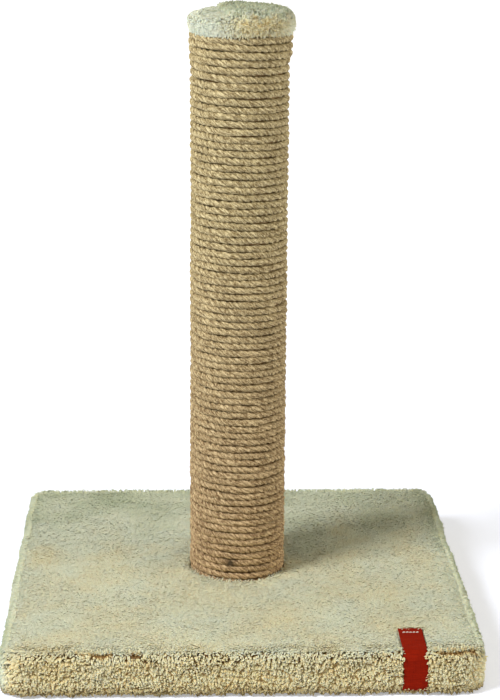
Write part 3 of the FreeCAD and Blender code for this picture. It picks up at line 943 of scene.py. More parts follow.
def make_cover():
    """Rows of outlines, each a blend of a circle and a rounded square, with heights and lumps along
    them."""
    rows = []

    def ring(half, corner, height, roundness):
        rows.append(outline_ring(half, corner, height, roundness))

    for radius in (bolt_hole, 14.0, 24.0, 33.0, seat_radius - 0.8):
        ring(radius, radius, seat_height, 1.0)
    for radius, height in seat_lip:
        ring(radius, radius, height, 1.0)
    top_height = cover_top - pile_depth
    edge_half = base_half - top_round
    edge_corner = cover_corner - top_round
    for share_out in np.linspace(0.0, 1.0, 46):
        half = pile_start + (edge_half - pile_start) * share_out
        corner = min(edge_corner, half)
        ring(half, corner, top_height, (1 - share_out) ** 1.5)
        rows[-1][:, 2] += top_lumps(rows[-1][:, 0], rows[-1][:, 1]) * min(1.0, 6 * share_out)
    distances = np.linspace(0.0, 39.0, 22)[1:]
    for distance, out, height, tilt in zip(distances, *edge_section(distances)):
        corner = edge_corner + out - edge_half
        flat, facing = square_outline(outline_share, out, corner)
        places = np.column_stack([flat, np.full(len(flat), height)])
        swell = side_lumps(places) * min(1.0, height / 6) - drawn_in(flat[:, 1], distance) * math.sin(tilt)
        rows.append(np.column_stack([flat + swell[:, None] * facing, places[:, 2]]))
    ring(lining_half + 6, hem_corner + 1, 0.25, 0.0)
    ring(lining_half + 0.2, hem_corner + 0.2, 0.2, 0.0)
    for half in (lining_half, 170.0, hem_half):
        ring(half, hem_corner, lining_thickness + cloth_gap, 0.0)
    for half in (hem_half, 166.0, 178.0, board_side):
        ring(half, hem_corner, board_bottom - cloth_gap, 0.0)
    ring(board_side, 12.1, 16.0, 0.0)
    for share_in in np.linspace(1.0, 0.0, 12):
        half = under_post + (board_side - under_post) * share_in
        ring(half, min(12.1, half), board_top + cloth_gap, (1 - share_in) ** 1.5)
    ring(bolt_hole, bolt_hole, board_top + cloth_gap, 1.0)
    points = np.concatenate(rows)
    cover = make_piece("base_cover", points, grid_quads(len(rows), len(outline_share), wrap_rows=True))
    # Painted shade: the cloth shows only in the gaps of the pile. On the sides it takes the roots' colour
    # lower down, in front it goes brown, and on the front's round, where it shows in the partings, its warmth
    # is raised into dark brown.
    on_top = points[:, 2] > cover_top - 2.4
    on_front = (points[:, 1] < -base_half + 12) & ~on_top
    low = np.where(on_front, 1.0, smooth_step((cover_top - 10 - points[:, 2]) / 8))
    add_number(cover, "tip", np.where(on_top, 0.6, 0.4 * (1 - low)) - 0.2 * on_front)
    parted = on_front * smooth_step((points[:, 2] - cover_top + 13) / 3)
    add_number(cover, "tone", np.full(len(points), 0.5))
    add_number(cover, "warmth_and_shade", np.where(on_top, top_warmth_and_shade(points[:, :2]), 0.9 * low + 0.7 * parted))
    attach(cover, "base")
    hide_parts("base_plush_cover")
    return cover


base_cover = make_cover()
print("base cover:", triangle_count(base_cover), "triangles")

# %% [markdown]
# On top the pile is short, fine and brushed flat: slim locks that lean one way here and another there, as a
# hand leaves them. They keep off the post's seat and the ribbon. The top is split into three pieces so that
# each one stays light enough for its own file.

# %% Places for the top's locks
top_spacing = 1.8
over_round = 3.0


def past_edge(places):
    """How far places are past the line where the top ends and the edge's round begins, negative before
    it."""
    corner = cover_corner - top_round
    beyond = np.maximum(np.abs(places) - (base_half - cover_corner), 0)
    return np.hypot(beyond[:, 0], beyond[:, 1]) - corner


def top_pile_places(chance):
    """Places for the top's locks, less those under the post or the ribbon or too far over the edge's
    round."""
    reach = base_half - top_round + over_round
    places = scattered(2 * reach, 2 * reach, top_spacing, chance) - reach
    inside = past_edge(places) < over_round
    off_post = np.hypot(places[:, 0], places[:, 1]) > seat_radius + 0.2
    beside_tag = (np.abs(places[:, 0] - tag_x) > tag_width / 2 - 0.2) | (places[:, 1] > tag_top - 0.5)
    return places[inside & off_post & beside_tag]


def top_pile_leans(places, chance):
    """The way the locks lean: towards the front, turned by slow waves and by a little chance, and in
    towards the post next to it."""
    angle = np.radians(-90) + 0.7 * soft_noise(places, 150, 31) + 0.25 * soft_noise(places, 45, 32)
    angle = angle + chance.normal(0, 0.25, len(places))
    leans = np.stack([np.cos(angle), np.sin(angle)], axis=-1)
    distance = np.linalg.norm(places, axis=1)
    push = np.exp(-(distance - seat_radius) / 3.0)
    leans = unit(leans - (1.2 * push)[:, None] * places / distance[:, None])
    return np.column_stack([leans, np.zeros(len(leans))])


print("locks on top:", len(top_pile_places(np.random.default_rng(41))))

# %% [markdown]
# Each lock on top takes its length, tilt and colour from where it is. Painting those by hand as weights is
# the usual way for hair. Here they are smooth steps from the edge, the post and the ribbon.

# %% Pile on top of the base
top_length = 3.1
top_width = 2.0
top_taper = (1.0, 0.9)
top_flatness = 0.42
lock_corners = 3


def grow_top_pile():
    """Locks all over the top, flat and fine. Near the front edge they are longer and stand up more, next to
    the post they are upright, and those at the ribbon's top end reach over it."""
    chance = np.random.default_rng(41)
    places = top_pile_places(chance)
    leans = top_pile_leans(places, chance)
    count = len(places)
    past = np.maximum(past_edge(places), 0) / (top_round - curl_depth)
    drop = 0.25 + (top_round - pile_depth) * (1 - np.sqrt(1 - past ** 2))
    roots = np.column_stack([places, cover_top - pile_depth - drop + top_lumps(places[:, 0], places[:, 1])])
    upright = np.tile(UP, (count, 1))
    near_post = np.exp(-(np.linalg.norm(places, axis=1) - seat_radius) / 2.5)
    near_edge = smooth_step((-172 - places[:, 1]) / 14) * (0.5 + 0.5 * soft_noise(places, 34, 35))
    # Painted shade: near the left and right edges the top's warmth is lowered, which paints it greener and
    # darker.
    near_sides = 0.3 * smooth_step((-places[:, 0] - 181) / 9) + 0.55 * smooth_step((places[:, 0] - 172) / 18)
    over_tag = np.exp(-((places[:, 1] - tag_top) / 2.0) ** 2) * (np.abs(places[:, 0] - tag_x) < tag_width / 2)
    locks = {
        "roots": roots,
        "normals": upright,
        "facing": upright,
        "leans": leans,
        "lengths": chance.normal(top_length, 0.45, count) + 2.2 * near_edge + 1.4 * over_tag,
        "first_tilt": np.radians(chance.normal(60, 8, count) - 28 * near_edge) * (1 - 0.8 * near_post),
        "last_tilt": np.radians(chance.normal(84, 7, count)) * (1 - 0.8 * near_post),
        "swirl": chance.normal(0, 0.4, count),
        "widths": chance.normal(top_width, 0.25, count),
        "tones": chance.uniform(0, 1, count),
        "warmth_and_shade": top_warmth_and_shade(places) + 0.3 * near_edge - near_sides,
        # Painted shade: near the front edge, where the pile stands up, tips are less pale and roots brown.
        "pale": 1 - 0.3 * near_edge,
        "brown": 0.1 * near_edge,
        "softness": 0.94 - 0.25 * near_edge,
    }
    third = np.clip(((places[:, 0] + base_half) / (2 * base_half) * 3).astype(int), 0, 2)
    pieces = []
    for number, side in enumerate(("left", "middle", "right")):
        own = pick(locks, third == number)
        piece = grow_pile(f"base_pile_top_{side}", own, top_taper, lock_corners, top_flatness)
        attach(piece, "base")
        pieces.append(piece)
    return pieces


top_pile = grow_top_pile()
print("pile on top:", [triangle_count(piece) for piece in top_pile], "triangles")

# %% [markdown]
# Over the edge's round the pile is combed outwards, and parts in three places in front. Down the front it
# isn't brushed: it stands out in short thick clumps, with the gaps between them painted brown as painted
# shade. Each lock bends over and turns as it goes. The other sides are flatter. A side is a piece of its own.

# %% Places round the edge


def edge_places(run, spacing, chance):
    """Places round the edge of the base, from its top down: the point on the cloth, its normal, the level
    direction along the edge, the direction down the cloth, the share of the way round, and the distance
    down."""
    around = 4 * (2 * (base_half - cover_corner) + cover_corner * np.pi / 2)
    places = scattered(around, run, spacing, chance)
    share = np.clip(places[:, 0] / around, 0, 0.99999)
    distance = np.clip(places[:, 1], 0, run)
    out, height, tilt = edge_section(distance)
    flat, facing = square_outline(share, out, cover_corner - base_half + out)
    swell = side_lumps(np.column_stack([flat, height])) * np.minimum(1.0, height / 6)
    swell = (swell - drawn_in(flat[:, 1], distance) * np.sin(tilt))[:, None] * facing
    normals = np.column_stack([facing * np.sin(tilt)[:, None], np.cos(tilt)])
    level = np.column_stack([-facing[:, 1], facing[:, 0], np.zeros(len(flat))])
    return np.column_stack([flat + swell, height]), normals, level, np.cross(level, normals), share, distance


# %% [markdown]
# In a few runs in front the pile parts along a wavy line, and the ground shows between, painted dark brown as
# painted shade. Combing by chance never leaves a line, so each root's distance from it is worked out.

# %% Partings of the pile
parting_down = 4.6
partings = ((-136, -106), (-92, -84), (154, 188))


def parting_gap(roots, distance):
    """How far a root on the front is from the parting of the pile, up positive and down negative, and far
    where there is none. The parting is a wavy line on the edge's round, in a few runs."""
    line = parting_down + 0.8 * np.sin(roots[:, 0] / 5.0) + 0.5 * np.sin(roots[:, 0] / 2.1)
    near = np.zeros(len(roots), dtype=bool)
    for first, last in partings:
        near |= (roots[:, 0] > first) & (roots[:, 0] < last)
    near &= roots[:, 1] < -base_half / 2
    return np.where(near, line - distance, 99.0)


def off_tag(roots):
    """Whether a root is clear of the ribbon."""
    return (np.abs(roots[:, 0] - tag_x) > tag_width / 2 + 0.4) | (roots[:, 1] > -150)


print("partings:", len(partings), "runs in front")

# %% [markdown]
# All the sides grow at once, so that the corners match, and are then cut into four pieces. What a lock does
# is a blend of two states, brushed flat and gathered in a clump, by how curly its place is.

# %% Curls round the sides of the base
curl_spacing = 1.8
clump_spacing = 4.4
clump_pull = 0.3
clump_stray = 2.3
curl_length = 4.2
curl_width = 1.85
curl_taper = (1.0, 1.0, 0.7)
curl_flatness = 0.75
above_floor = 0.15
edge_run = 38.5


def grow_side_pile():
    """Locks over the edge's round and down the sides. At the top they are slim, brushed flat, out and down,
    or up above a parting. Lower they stand out in clumps, in front sooner than elsewhere, with roots painted
    brown and duller tips at a clump's edge, which is painted shade in the gaps. The colour starts as the
    top's and goes warm in front. On the other sides it is painted cooler and darker over the round, as
    painted shade, and then warm."""
    chance = np.random.default_rng(51)
    roots, normals, level, down, share, distance = edge_places(edge_run, curl_spacing, chance)
    middles = edge_places(edge_run, clump_spacing, chance)[0]
    count = len(roots)
    gap = parting_gap(roots, distance)
    left_corner = smooth_step((-roots[:, 0] - base_half + 13) / 9) * smooth_step((-roots[:, 1] - 160) / 20)
    front = (1 - smooth_step((roots[:, 1] + base_half - 6) / 18)) * (1 - 0.85 * left_corner)
    back = smooth_step((roots[:, 1] - base_half + 24) / 16)
    over_edge = 1 - smooth_step((distance - 4) / 8)
    right = smooth_step((roots[:, 0] - base_half + 14) / 10)
    left = smooth_step((-roots[:, 0] - base_half + 14) / 10)
    lowered = smooth_step(distance / 8)
    start = 3.0 + 6.0 * (1 - front) + 4.5 * soft_noise(roots, 40, 55) + 3.0 * soft_noise(roots, 14, 56)
    curly = (0.6 + 0.4 * front) * smooth_step((distance - start) / 6)
    lengths = chance.normal(curl_length, 0.5, count) * (1.15 - 0.3 * distance / edge_run)
    lengths += 1.0 * front * np.exp(-((distance - 6) / 5) ** 2)
    angle = (1.0 - 0.5 * front) * soft_noise(roots, 15, 53) + chance.normal(0, 0.45, count)
    way = np.where((gap > 0) & (gap < 3), -0.4, 1.0)
    flat = (0.92 - 0.2 * back * (1 - lowered)) * lengths
    brushed = (flat * way * np.cos(angle))[:, None] * down + (flat * np.sin(angle))[:, None] * level
    clumped, clump_edge = gathered(roots, normals, middles, clump_pull, clump_stray, chance)
    own_way = chance.normal(0, 0.45, count)[:, None] * down + chance.normal(0, 0.45, count)[:, None] * level
    drift = brushed * (1 - curly)[:, None] + (clumped + own_way + 0.8 * down) * curly[:, None]
    beside_tag = front * np.exp(-((np.abs(roots[:, 0] - tag_x) - tag_width / 2 - 1) / 2) ** 2)
    drift[:, 0] += 1.8 * beside_tag * np.sign(tag_x - roots[:, 0])
    on_round = (1 - front) * (1 - smooth_step((distance - 8) / 10))
    facing = unit(normals + (0.45 * front + 5.0 * on_round)[:, None] * UP)
    sooner = front * smooth_step((distance + 1) / 13) + (1 - front) * smooth_step((distance + 1.5) / 3)
    # Painted shade: over the round of the back and sides the warmth starts below nought, which paints it
    # greener and darker, and more so at the right and left edges.
    aside = -0.35 + (1 - left_corner) * smooth_step((distance - 4) / 13)
    aside = aside - over_edge * (0.22 * right + 0.1 * left)
    side_warmth_and_shade = 0.85 * front + aside * (1 - front) + 0.12 * soft_noise(roots, 40, 52)
    warmth_and_shade = top_warmth_and_shade(roots[:, :2]) * (1 - sooner) + side_warmth_and_shade * sooner
    locks = {
        "roots": roots - 0.5 * normals,
        "normals": normals,
        "facing": facing,
        "lengths": lengths,
        "swirl": chance.normal(0, 0.6, count) * (0.4 + 0.6 * curly),
        "widths": chance.normal(curl_width, 0.25, count) + 1.3 * curly,
        "tones": chance.uniform(0, 1, count),
        # Painted shade: roots at a parting have their warmth raised into the finish's dark brown.
        "warmth_and_shade": warmth_and_shade + np.exp(-(gap / 1.2) ** 2),
        # Painted shade: tips are duller at a clump's edge, and roots brown in front.
        "pale": 1 - 0.3 * curly * clump_edge ** 4,
        "brown": 0.3 * front * smooth_step((distance + 2) / 6),
        "softness": np.full(count, 0.88),
        **bend_to(drift, lengths),
    }
    keep = off_tag(roots) | (distance > 35)
    quarter = np.floor(((share * 4) + 0.045) % 4).astype(int)
    pieces = []
    for number, side in enumerate(("front", "right", "back", "left")):
        own = pick(locks, (quarter == number) & keep)
        piece = grow_pile(f"base_pile_{side}", own, curl_taper, lock_corners, curl_flatness, above_floor)
        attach(piece, "base")
        pieces.append(piece)
    return pieces


side_pile = grow_side_pile()
print("pile on the sides:", [triangle_count(piece) for piece in side_pile], "triangles")

# %% [markdown]
# The cap is a round of the same plush, drawn over the top of the post, its skirt caught under the last
# turns of rope. Its backing is a turned surface with two lumps: a main dome and a lower one on the left
# with a crease between.

# %% Form of the cap
cap_side = 45.1
cap_crown = 538.2
cap_depth = 2.0
cap_turn = 125.0
cap_middle = 523.5
cap_under = 12.0
cap_crease = 15.0


def cap_left_share(x, y):
    """How much a place belongs to the lower left lump of the cap, from 0 to 1, with a quick change at the
    crease."""
    return 1 / (1 + np.exp((x + cap_crease + 0.15 * y) / 1.8))


def cap_points(share, angle):
    """Points of the cap's cloth by the share of the way from the crown to the lower edge. The radius grows
    as a power of a sine. Above the widest place the height is a dome, one less the radius to a high
    power, under a root, and the dome is lower and squarer on the left. Below it the cloth draws in under
    the edge."""
    turn = share * np.radians(cap_turn)
    out = np.sin(turn) ** 0.42
    out = np.where(turn < np.pi / 2, out, 1 - 0.45 * (1 - out))
    wave = 1 + 0.014 * np.sin(3 * angle + 0.6) + 0.012 * np.sin(7 * angle)
    wave = wave + 0.03 * np.maximum(np.cos(angle), 0) ** 4
    reach = cap_side - cap_depth
    x = reach * out * wave * np.cos(angle)
    y = reach * out * wave * np.sin(angle)
    left = cap_left_share(x, y)
    crease = np.exp(-((x + cap_crease + 0.15 * y) / 2.6) ** 2)
    crown = cap_crown - 1.0 - cap_depth - cap_middle - 4.8 * left - 1.2 * crease
    crown = crown + 0.7 * soft_noise(np.stack([x, y], axis=-1), 24, 61)
    dome = np.sqrt(np.clip(1 - out ** (4.6 + 4.0 * left), 0, 1))
    tuck = cap_under * np.abs(np.cos(turn)) ** 0.8
    z = cap_middle + np.where(turn < np.pi / 2, crown * dome, -tuck)
    return np.stack([x, y, z], axis=-1)


def cap_surface(share, angle):
    """Points of the cap's cloth and their normals, which are the cross product of two small steps over
    it."""
    step = 0.004
    lower = cap_points(np.clip(share + step, 0, 1), angle)
    along = lower - cap_points(np.clip(share - step, 0.001, 1), angle)
    around = cap_points(share, angle + step) - cap_points(share, angle - step)
    return cap_points(share, angle), unit(np.cross(along, around))


print("crown of the cap:", cap_points(np.array([0.001]), np.array([0.0]))[0, 2].round(1), "mm high")

# %% [markdown]
# The left lump is brushed smooth and looks cool. The rest stands up in nubs, warm in front and green over
# the crown. These are fields over the place again, shared by the cloth and its pile.

# %% Colours and nubs of the cap


def cap_warmth(places):
    """Warm at the front and right, cool on the left lump, and greener over the crown."""
    high = smooth_step((places[:, 2] - 525.5 + 3.5 * soft_noise(places, 9, 74)) / 10)
    left = cap_left_share(places[:, 0], places[:, 1])
    middle = np.exp(-(((places[:, 0] - 18) / 34) ** 2 + ((places[:, 1] + 40) / 28) ** 2))
    cool = 1.15 * high * (1 - 0.5 * left) + 0.2 * left * (1 - high)
    return 0.12 + 0.9 * middle * (1 - 0.5 * high) - cool + 0.12 * soft_noise(places, 22, 73)


def cap_nubs(places):
    """Where the cap's pile stands up in nubs, from 0 to 1: all but the left lump, which is brushed
    smooth."""
    return 0.1 + 0.9 * smooth_step((places[:, 0] + 20 + 6 * soft_noise(places, 14, 75)) / 16)


# %% [markdown]
# The cloth goes on under the rope as a thin skirt, and its inside rests on the post's end. Making the whole
# of it, seen or not, leaves one closed surface with no thickness to guess.

# %% Cap cover
post_top = 525.2
cap_bottom = 515.2
skirt_outer = 37.1
skirt_inner = 36.2
skirt_bottom = 501.3
cap_columns = 120


def make_cap():
    """Rings from just off the crown down the outside, under the edge, down and up the skirt, and in under
    the top, with one point at each pole."""
    angle = 2 * np.pi * np.arange(cap_columns) / cap_columns
    rows = [cap_surface(np.full(cap_columns, share), angle)[0] for share in np.linspace(0.05, 1.0, 40) ** 3]
    ceiling = post_top + 0.2
    inside = [(skirt_outer, cap_bottom + 0.4), (skirt_outer, (cap_bottom + skirt_bottom) / 2),
              (skirt_outer, skirt_bottom), (skirt_inner, skirt_bottom), (skirt_inner, post_top - 8),
              (skirt_inner, ceiling), (24.0, ceiling), (12.0, ceiling), (2.0, ceiling)]
    for radius, height in inside:
        circle = [radius * np.cos(angle), radius * np.sin(angle), np.full(cap_columns, height)]
        rows.append(np.stack(circle, axis=-1))
    crown = rows[0].mean(axis=0)
    points = np.concatenate(rows + [crown[None], [[0.0, 0.0, ceiling]]])
    faces = grid_quads(len(rows), cap_columns), end_fans(len(rows), cap_columns)
    cap = make_piece("cap_cover", points, *faces)
    add_number(cap, "tip", 0.5 - 0.25 * cap_nubs(points))
    add_number(cap, "tone", np.full(len(points), 0.5))
    add_number(cap, "warmth_and_shade", cap_warmth(points))
    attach(cap, "post")
    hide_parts("top_plush_cap")
    return cap


cap_cover = make_cap()
print("cap:", triangle_count(cap_cover), "triangles")

# %% [markdown]
# A square grid of roots would bunch up at the crown. The golden angle, which sunflower heads use, spreads
# them evenly over any turned form.

# %% Pile on the cap
cap_locks = 10500
cap_clumps = 2000
cap_pull = 0.4
cap_stray = 2.4
cap_length = 3.4
cap_width = 1.4
cap_taper = (0.9, 1.0, 0.75)
cap_flatness = 0.58
brush_way = np.array([0.3, -1.0, 0.0])


def cap_places(count, chance):
    """Places over the cap, evenly spread by area: the shares are spaced so that each ring holds places in
    proportion to its radius, and each place is turned from the last by the golden angle."""
    fine = np.linspace(0.01, 1.0, 1200) ** 3
    profile = cap_points(fine, np.zeros(len(fine)))
    area = np.cumsum(profile[:, 0] * np.hypot(np.gradient(profile[:, 0]), np.gradient(profile[:, 2])))
    share = np.interp((np.arange(count) + 0.5) / count, area / area[-1], fine)
    angle = np.arange(count) * np.pi * (3 - math.sqrt(5)) + chance.normal(0, 0.02, count)
    return *cap_surface(share, angle), angle


def grow_cap_pile():
    """Locks over the cap. Where they are brushed they lie down the sides and one way on top. Where they are
    nubby they stand and gather in small clumps, with roots and clump edges painted dark between them as
    painted shade."""
    chance = np.random.default_rng(71)
    count = cap_locks
    roots, normals, angle = cap_places(count, chance)
    middles = cap_places(cap_clumps, chance)[0] + chance.normal(0, 0.8, (cap_clumps, 3))
    level = np.stack([-np.sin(angle), np.cos(angle), np.zeros(count)], axis=-1)
    fall = np.cross(level, normals)
    low = smooth_step((cap_middle - 1 - roots[:, 2]) / 4)
    way = (soft_noise(roots, 30, 72) * 1.4 + chance.normal(0, 0.6, count)) * (1 - 0.7 * low)
    ahead = brush_way - normals * (normals @ brush_way)[:, None]
    on_top = smooth_step((normals[:, 2] - 0.3) / 0.4)[:, None]
    along = unit(fall * (1 - on_top) + ahead * on_top)
    lengths = chance.normal(cap_length, 0.5, count) + chance.normal(0.5, 0.9, count) * low
    flat = (0.93 * lengths)[:, None]
    brushed = flat * (np.cos(way)[:, None] * along + np.sin(way)[:, None] * np.cross(normals, along))
    clumped, clump_edge = gathered(roots, normals, middles, cap_pull, cap_stray, chance)
    nubby = cap_nubs(roots) * (1 - 0.7 * low)
    drift = brushed * (1 - nubby)[:, None] + clumped * nubby[:, None]
    locks = {
        "roots": roots - (0.4 + 0.6 * nubby)[:, None] * normals,
        "normals": normals,
        "facing": unit(normals + (0.7 * nubby)[:, None] * UP),
        "lengths": lengths,
        "swirl": chance.normal(0, 0.8, count),
        "widths": chance.normal(cap_width, 0.2, count) + 0.4 * (1 - nubby),
        "tones": chance.uniform(0, 1, count),
        "warmth_and_shade": cap_warmth(roots),
        # Painted shade: in nubby clumps tips are duller at the edge, and roots brown.
        "pale": 1 - 0.5 * nubby * clump_edge ** 4,
        "brown": 0.1 * nubby,
        "softness": 0.94 - 0.2 * nubby,
        **bend_to(drift, lengths),
    }
    pile = grow_pile("cap_pile", locks, cap_taper, lock_corners, cap_flatness)
    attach(pile, "post")
    return pile


cap_pile = grow_cap_pile()
print("pile on the cap:", triangle_count(cap_pile), "triangles")

# %% [markdown]
# A ribbon is sewn to the plush at its top end, runs over the front edge and is stapled under the board. It
# is a thin woven strip, so it is one closed grid: a line along the section of the base, a row of points
# across it, and the same row back along its underside. The weave is in the grid itself: over and under by
# turns, with a firm edge at each side.

# %% Line of the ribbon
tag_thickness = 1.0
tag_depth = 2.0
tag_under_round = 8.0
tag_tail = -182.0
tag_row_step = 0.4
tag_columns = 25


def ribbon_line(distance):
    """The ribbon's middle by the distance from its top end: along the top, over a quarter round, down the
    front, under a quarter round and back along the underside. Gives the points' y and z, and the
    normal's tilt from straight up."""
    over = top_round - tag_depth
    under = tag_under_round - tag_depth
    top_run = tag_top + base_half - top_round
    front_run = cover_top - top_round - tag_under_round
    first = np.clip(distance - top_run, 0, over * np.pi / 2) / over
    down = np.clip(distance - top_run - over * np.pi / 2, 0, front_run)
    rest = distance - top_run - over * np.pi / 2 - front_run
    second = np.clip(rest, 0, under * np.pi / 2) / under
    back = np.maximum(rest - under * np.pi / 2, 0)
    y = tag_top - np.clip(distance, 0, top_run) - over * np.sin(first) + under * (1 - np.cos(second)) + back
    z = cover_top - tag_depth - over * (1 - np.cos(first)) - down - under * np.sin(second)
    return y, z, first + second


def ribbon_length():
    """The length of that line: its straight runs and its two quarter rounds."""
    straight = tag_top + base_half - top_round + cover_top - top_round - tag_under_round
    straight += tag_tail + base_half - tag_under_round
    return straight + (top_round + tag_under_round - 2 * tag_depth) * np.pi / 2


print("ribbon:", round(ribbon_length(), 1), "mm long")

# %% [markdown]
# A ribbon could be a plane with a cloth simulation, but this one is held at both ends and lies tight on the
# plush. So its line is known, and only the weave, its edges and a slow wave are added.

# %% Ribbon


def make_ribbon():
    """A strip of points: across it by column, along it by row, raised along the normal by half the
    thickness, by the weave, which is a product of two alternating signs, and by a slow wave. The
    underside is the same without waves."""
    length = ribbon_length()
    rows = int(length / tag_row_step)
    distance = np.linspace(0, length, rows)
    y, z, tilt = ribbon_line(distance)
    column = np.arange(tag_columns)
    across = column / (tag_columns - 1) * 2 - 1
    sway = 0.35 * soft_noise(distance[:, None], 40, 81)
    edge = tag_width / 2 * (1 + 0.012 * soft_noise(distance[:, None], 9, 82))
    x = tag_x + sway[:, None] + edge[:, None] * across[None, :]
    weave = 0.05 * np.where((np.arange(rows)[:, None] + column[None, :]) % 2 == 0, 1.0, -1.0)
    weave[:, [0, 1, -2, -1]] = 0.07
    wave = 0.12 * soft_noise(distance[:, None], 17, 83)[:, None]
    raised = tag_thickness / 2 + weave + wave - 0.25 * across ** 4
    lowered = np.broadcast_to(-tag_thickness / 2 - 0.25 * across ** 4, raised.shape)
    sides = []
    for lift, order in ((raised, slice(None)), (lowered, slice(None, None, -1))):
        front = y[:, None] - lift * np.sin(tilt)[:, None]
        height = z[:, None] + lift * np.cos(tilt)[:, None]
        sides.append(np.stack([x, front, height], axis=-1)[:, order])
    points = np.concatenate(sides, axis=1)
    around = points.shape[1]
    end_row = np.arange(tag_columns - 1)
    end = np.stack([end_row, end_row + 1, around - 2 - end_row, around - 1 - end_row], axis=-1)
    quads = np.concatenate([grid_quads(rows, around), end[:, ::-1], end + (rows - 1) * around])
    ribbon = make_piece("ribbon_tag", points.reshape(-1, 3), quads)
    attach(ribbon, "base")
    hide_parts("label_tag")
    return ribbon


ribbon = make_ribbon()
print("ribbon:", triangle_count(ribbon), "triangles")

# %% [markdown]
# A row of stitches holds the ribbon's top end. Each is a short arch of thread, so the tubes of the pile
# serve again, with the arch as their spine.

# %% Stitches
stitch_count = 5
stitch_spacing = 2.8
stitch_reach = 1.8
stitch_inset = 9.0
stitch_stations = 9
stitch_corners = 8


def make_stitches():
    """Short arched tubes in a row across the ribbon: each goes up out of it and down into it on half a
    sine."""
    share = np.linspace(0, 1, stitch_stations)
    number = np.arange(stitch_count)[:, None]
    x = tag_x + (number - (stitch_count - 1) / 2) * stitch_spacing + (share[None, :] - 0.5) * stitch_reach
    y = np.full_like(x, tag_top - stitch_inset) + 0.12 * np.sin(number * 2.1)
    low = cover_top - tag_depth + tag_thickness / 2 - 0.2
    z = np.broadcast_to(low + 0.6 * np.sin(np.pi * share), x.shape)
    spines = np.stack([x, y, z], axis=-1)
    sides = np.broadcast_to([0.0, 1.0, 0.0], spines.shape)
    widths = np.tile(1.05 + 0.12 * np.cos(np.arange(stitch_stations - 1) * np.pi), (stitch_count, 1))
    points = tube_rings(spines, sides, widths, stitch_corners, 0.8).reshape(-1, 3)
    faces = tube_faces(stitch_count, stitch_stations, stitch_corners)
    stitches = make_piece("ribbon_stitches", points, *faces)
    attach(stitches, "base")
    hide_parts("label_stitches")
    return stitches


stitches = make_stitches()
print("stitches:", triangle_count(stitches), "triangles")

# %% [markdown]
# Under the board a thin felt lining hides the hem and has a round hole for the bolt's head. It is laid flat
# and stapled all round, so it is a slab of outlines, with a shallow dip at each staple and slack between
# them.

# %% Lining under the base
lining_hole = 16.0
lining_staples = 5
lining_staple_line = 175.0


def staple_dips(places):
    """Dips of the lining at its staples: a sum of round bumps at even places along the four sides."""
    share = 2 * (np.arange(lining_staples) + 0.5) / lining_staples - 1
    along = share * (lining_staple_line - 35.0)
    line = np.full(lining_staples, lining_staple_line)
    spots = np.concatenate([np.stack(pair, axis=-1) for pair in (
        (along, -line), (along, line), (-line, along), (line, along))])
    gap = ((places[:, None, :2] - spots[None]) ** 2).sum(axis=-1)
    return np.exp(-gap / 60.0).sum(axis=1)


def make_lining():
    """Rows of outlines from the hole out over the upper side, round the edge and back in along the lower
    side."""
    shares = np.linspace(0, 1, 30)
    halves = lining_hole + (lining_half - lining_hole) * shares
    rows = [outline_ring(half, min(hem_corner, half), lining_thickness - 0.02, (1 - share) ** 1.5)
            for half, share in zip(halves, shares)]
    for half, share in zip(halves[::-1], shares[::-1]):
        row = outline_ring(half, min(hem_corner, half), 0.0, (1 - share) ** 1.5)
        row[:, 2] = 0.1 + 0.07 * soft_noise(row[:, :2], 60, 91) + 0.08 * np.minimum(1, staple_dips(row))
        rows.append(row)
    quads = grid_quads(len(rows), len(outline_share), wrap_rows=True)
    lining = make_piece("underside_cloth", np.concatenate(rows), quads)
    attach(lining, "base")
    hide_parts("underside_lining")
    return lining


lining = make_lining()
print("lining:", triangle_count(lining), "triangles")

# %% [markdown]
# The bolt comes up through the board into the post. Its form is turned, so it is one grid of rings: a
# hexagon socket in a button head, then a shank whose radius follows the thread, a triangle wave that climbs
# one pitch in a turn.

# %% Bolt
bolt_radius = 4.0
bolt_pitch = 1.25
thread_depth = 0.7
head_radius = 7.0
head_low = 6.4
head_round = 3.08
head_seat = 10.8
bolt_tip = 65.8
socket_half = 2.5
socket_depth = 2.6
bolt_columns = 48


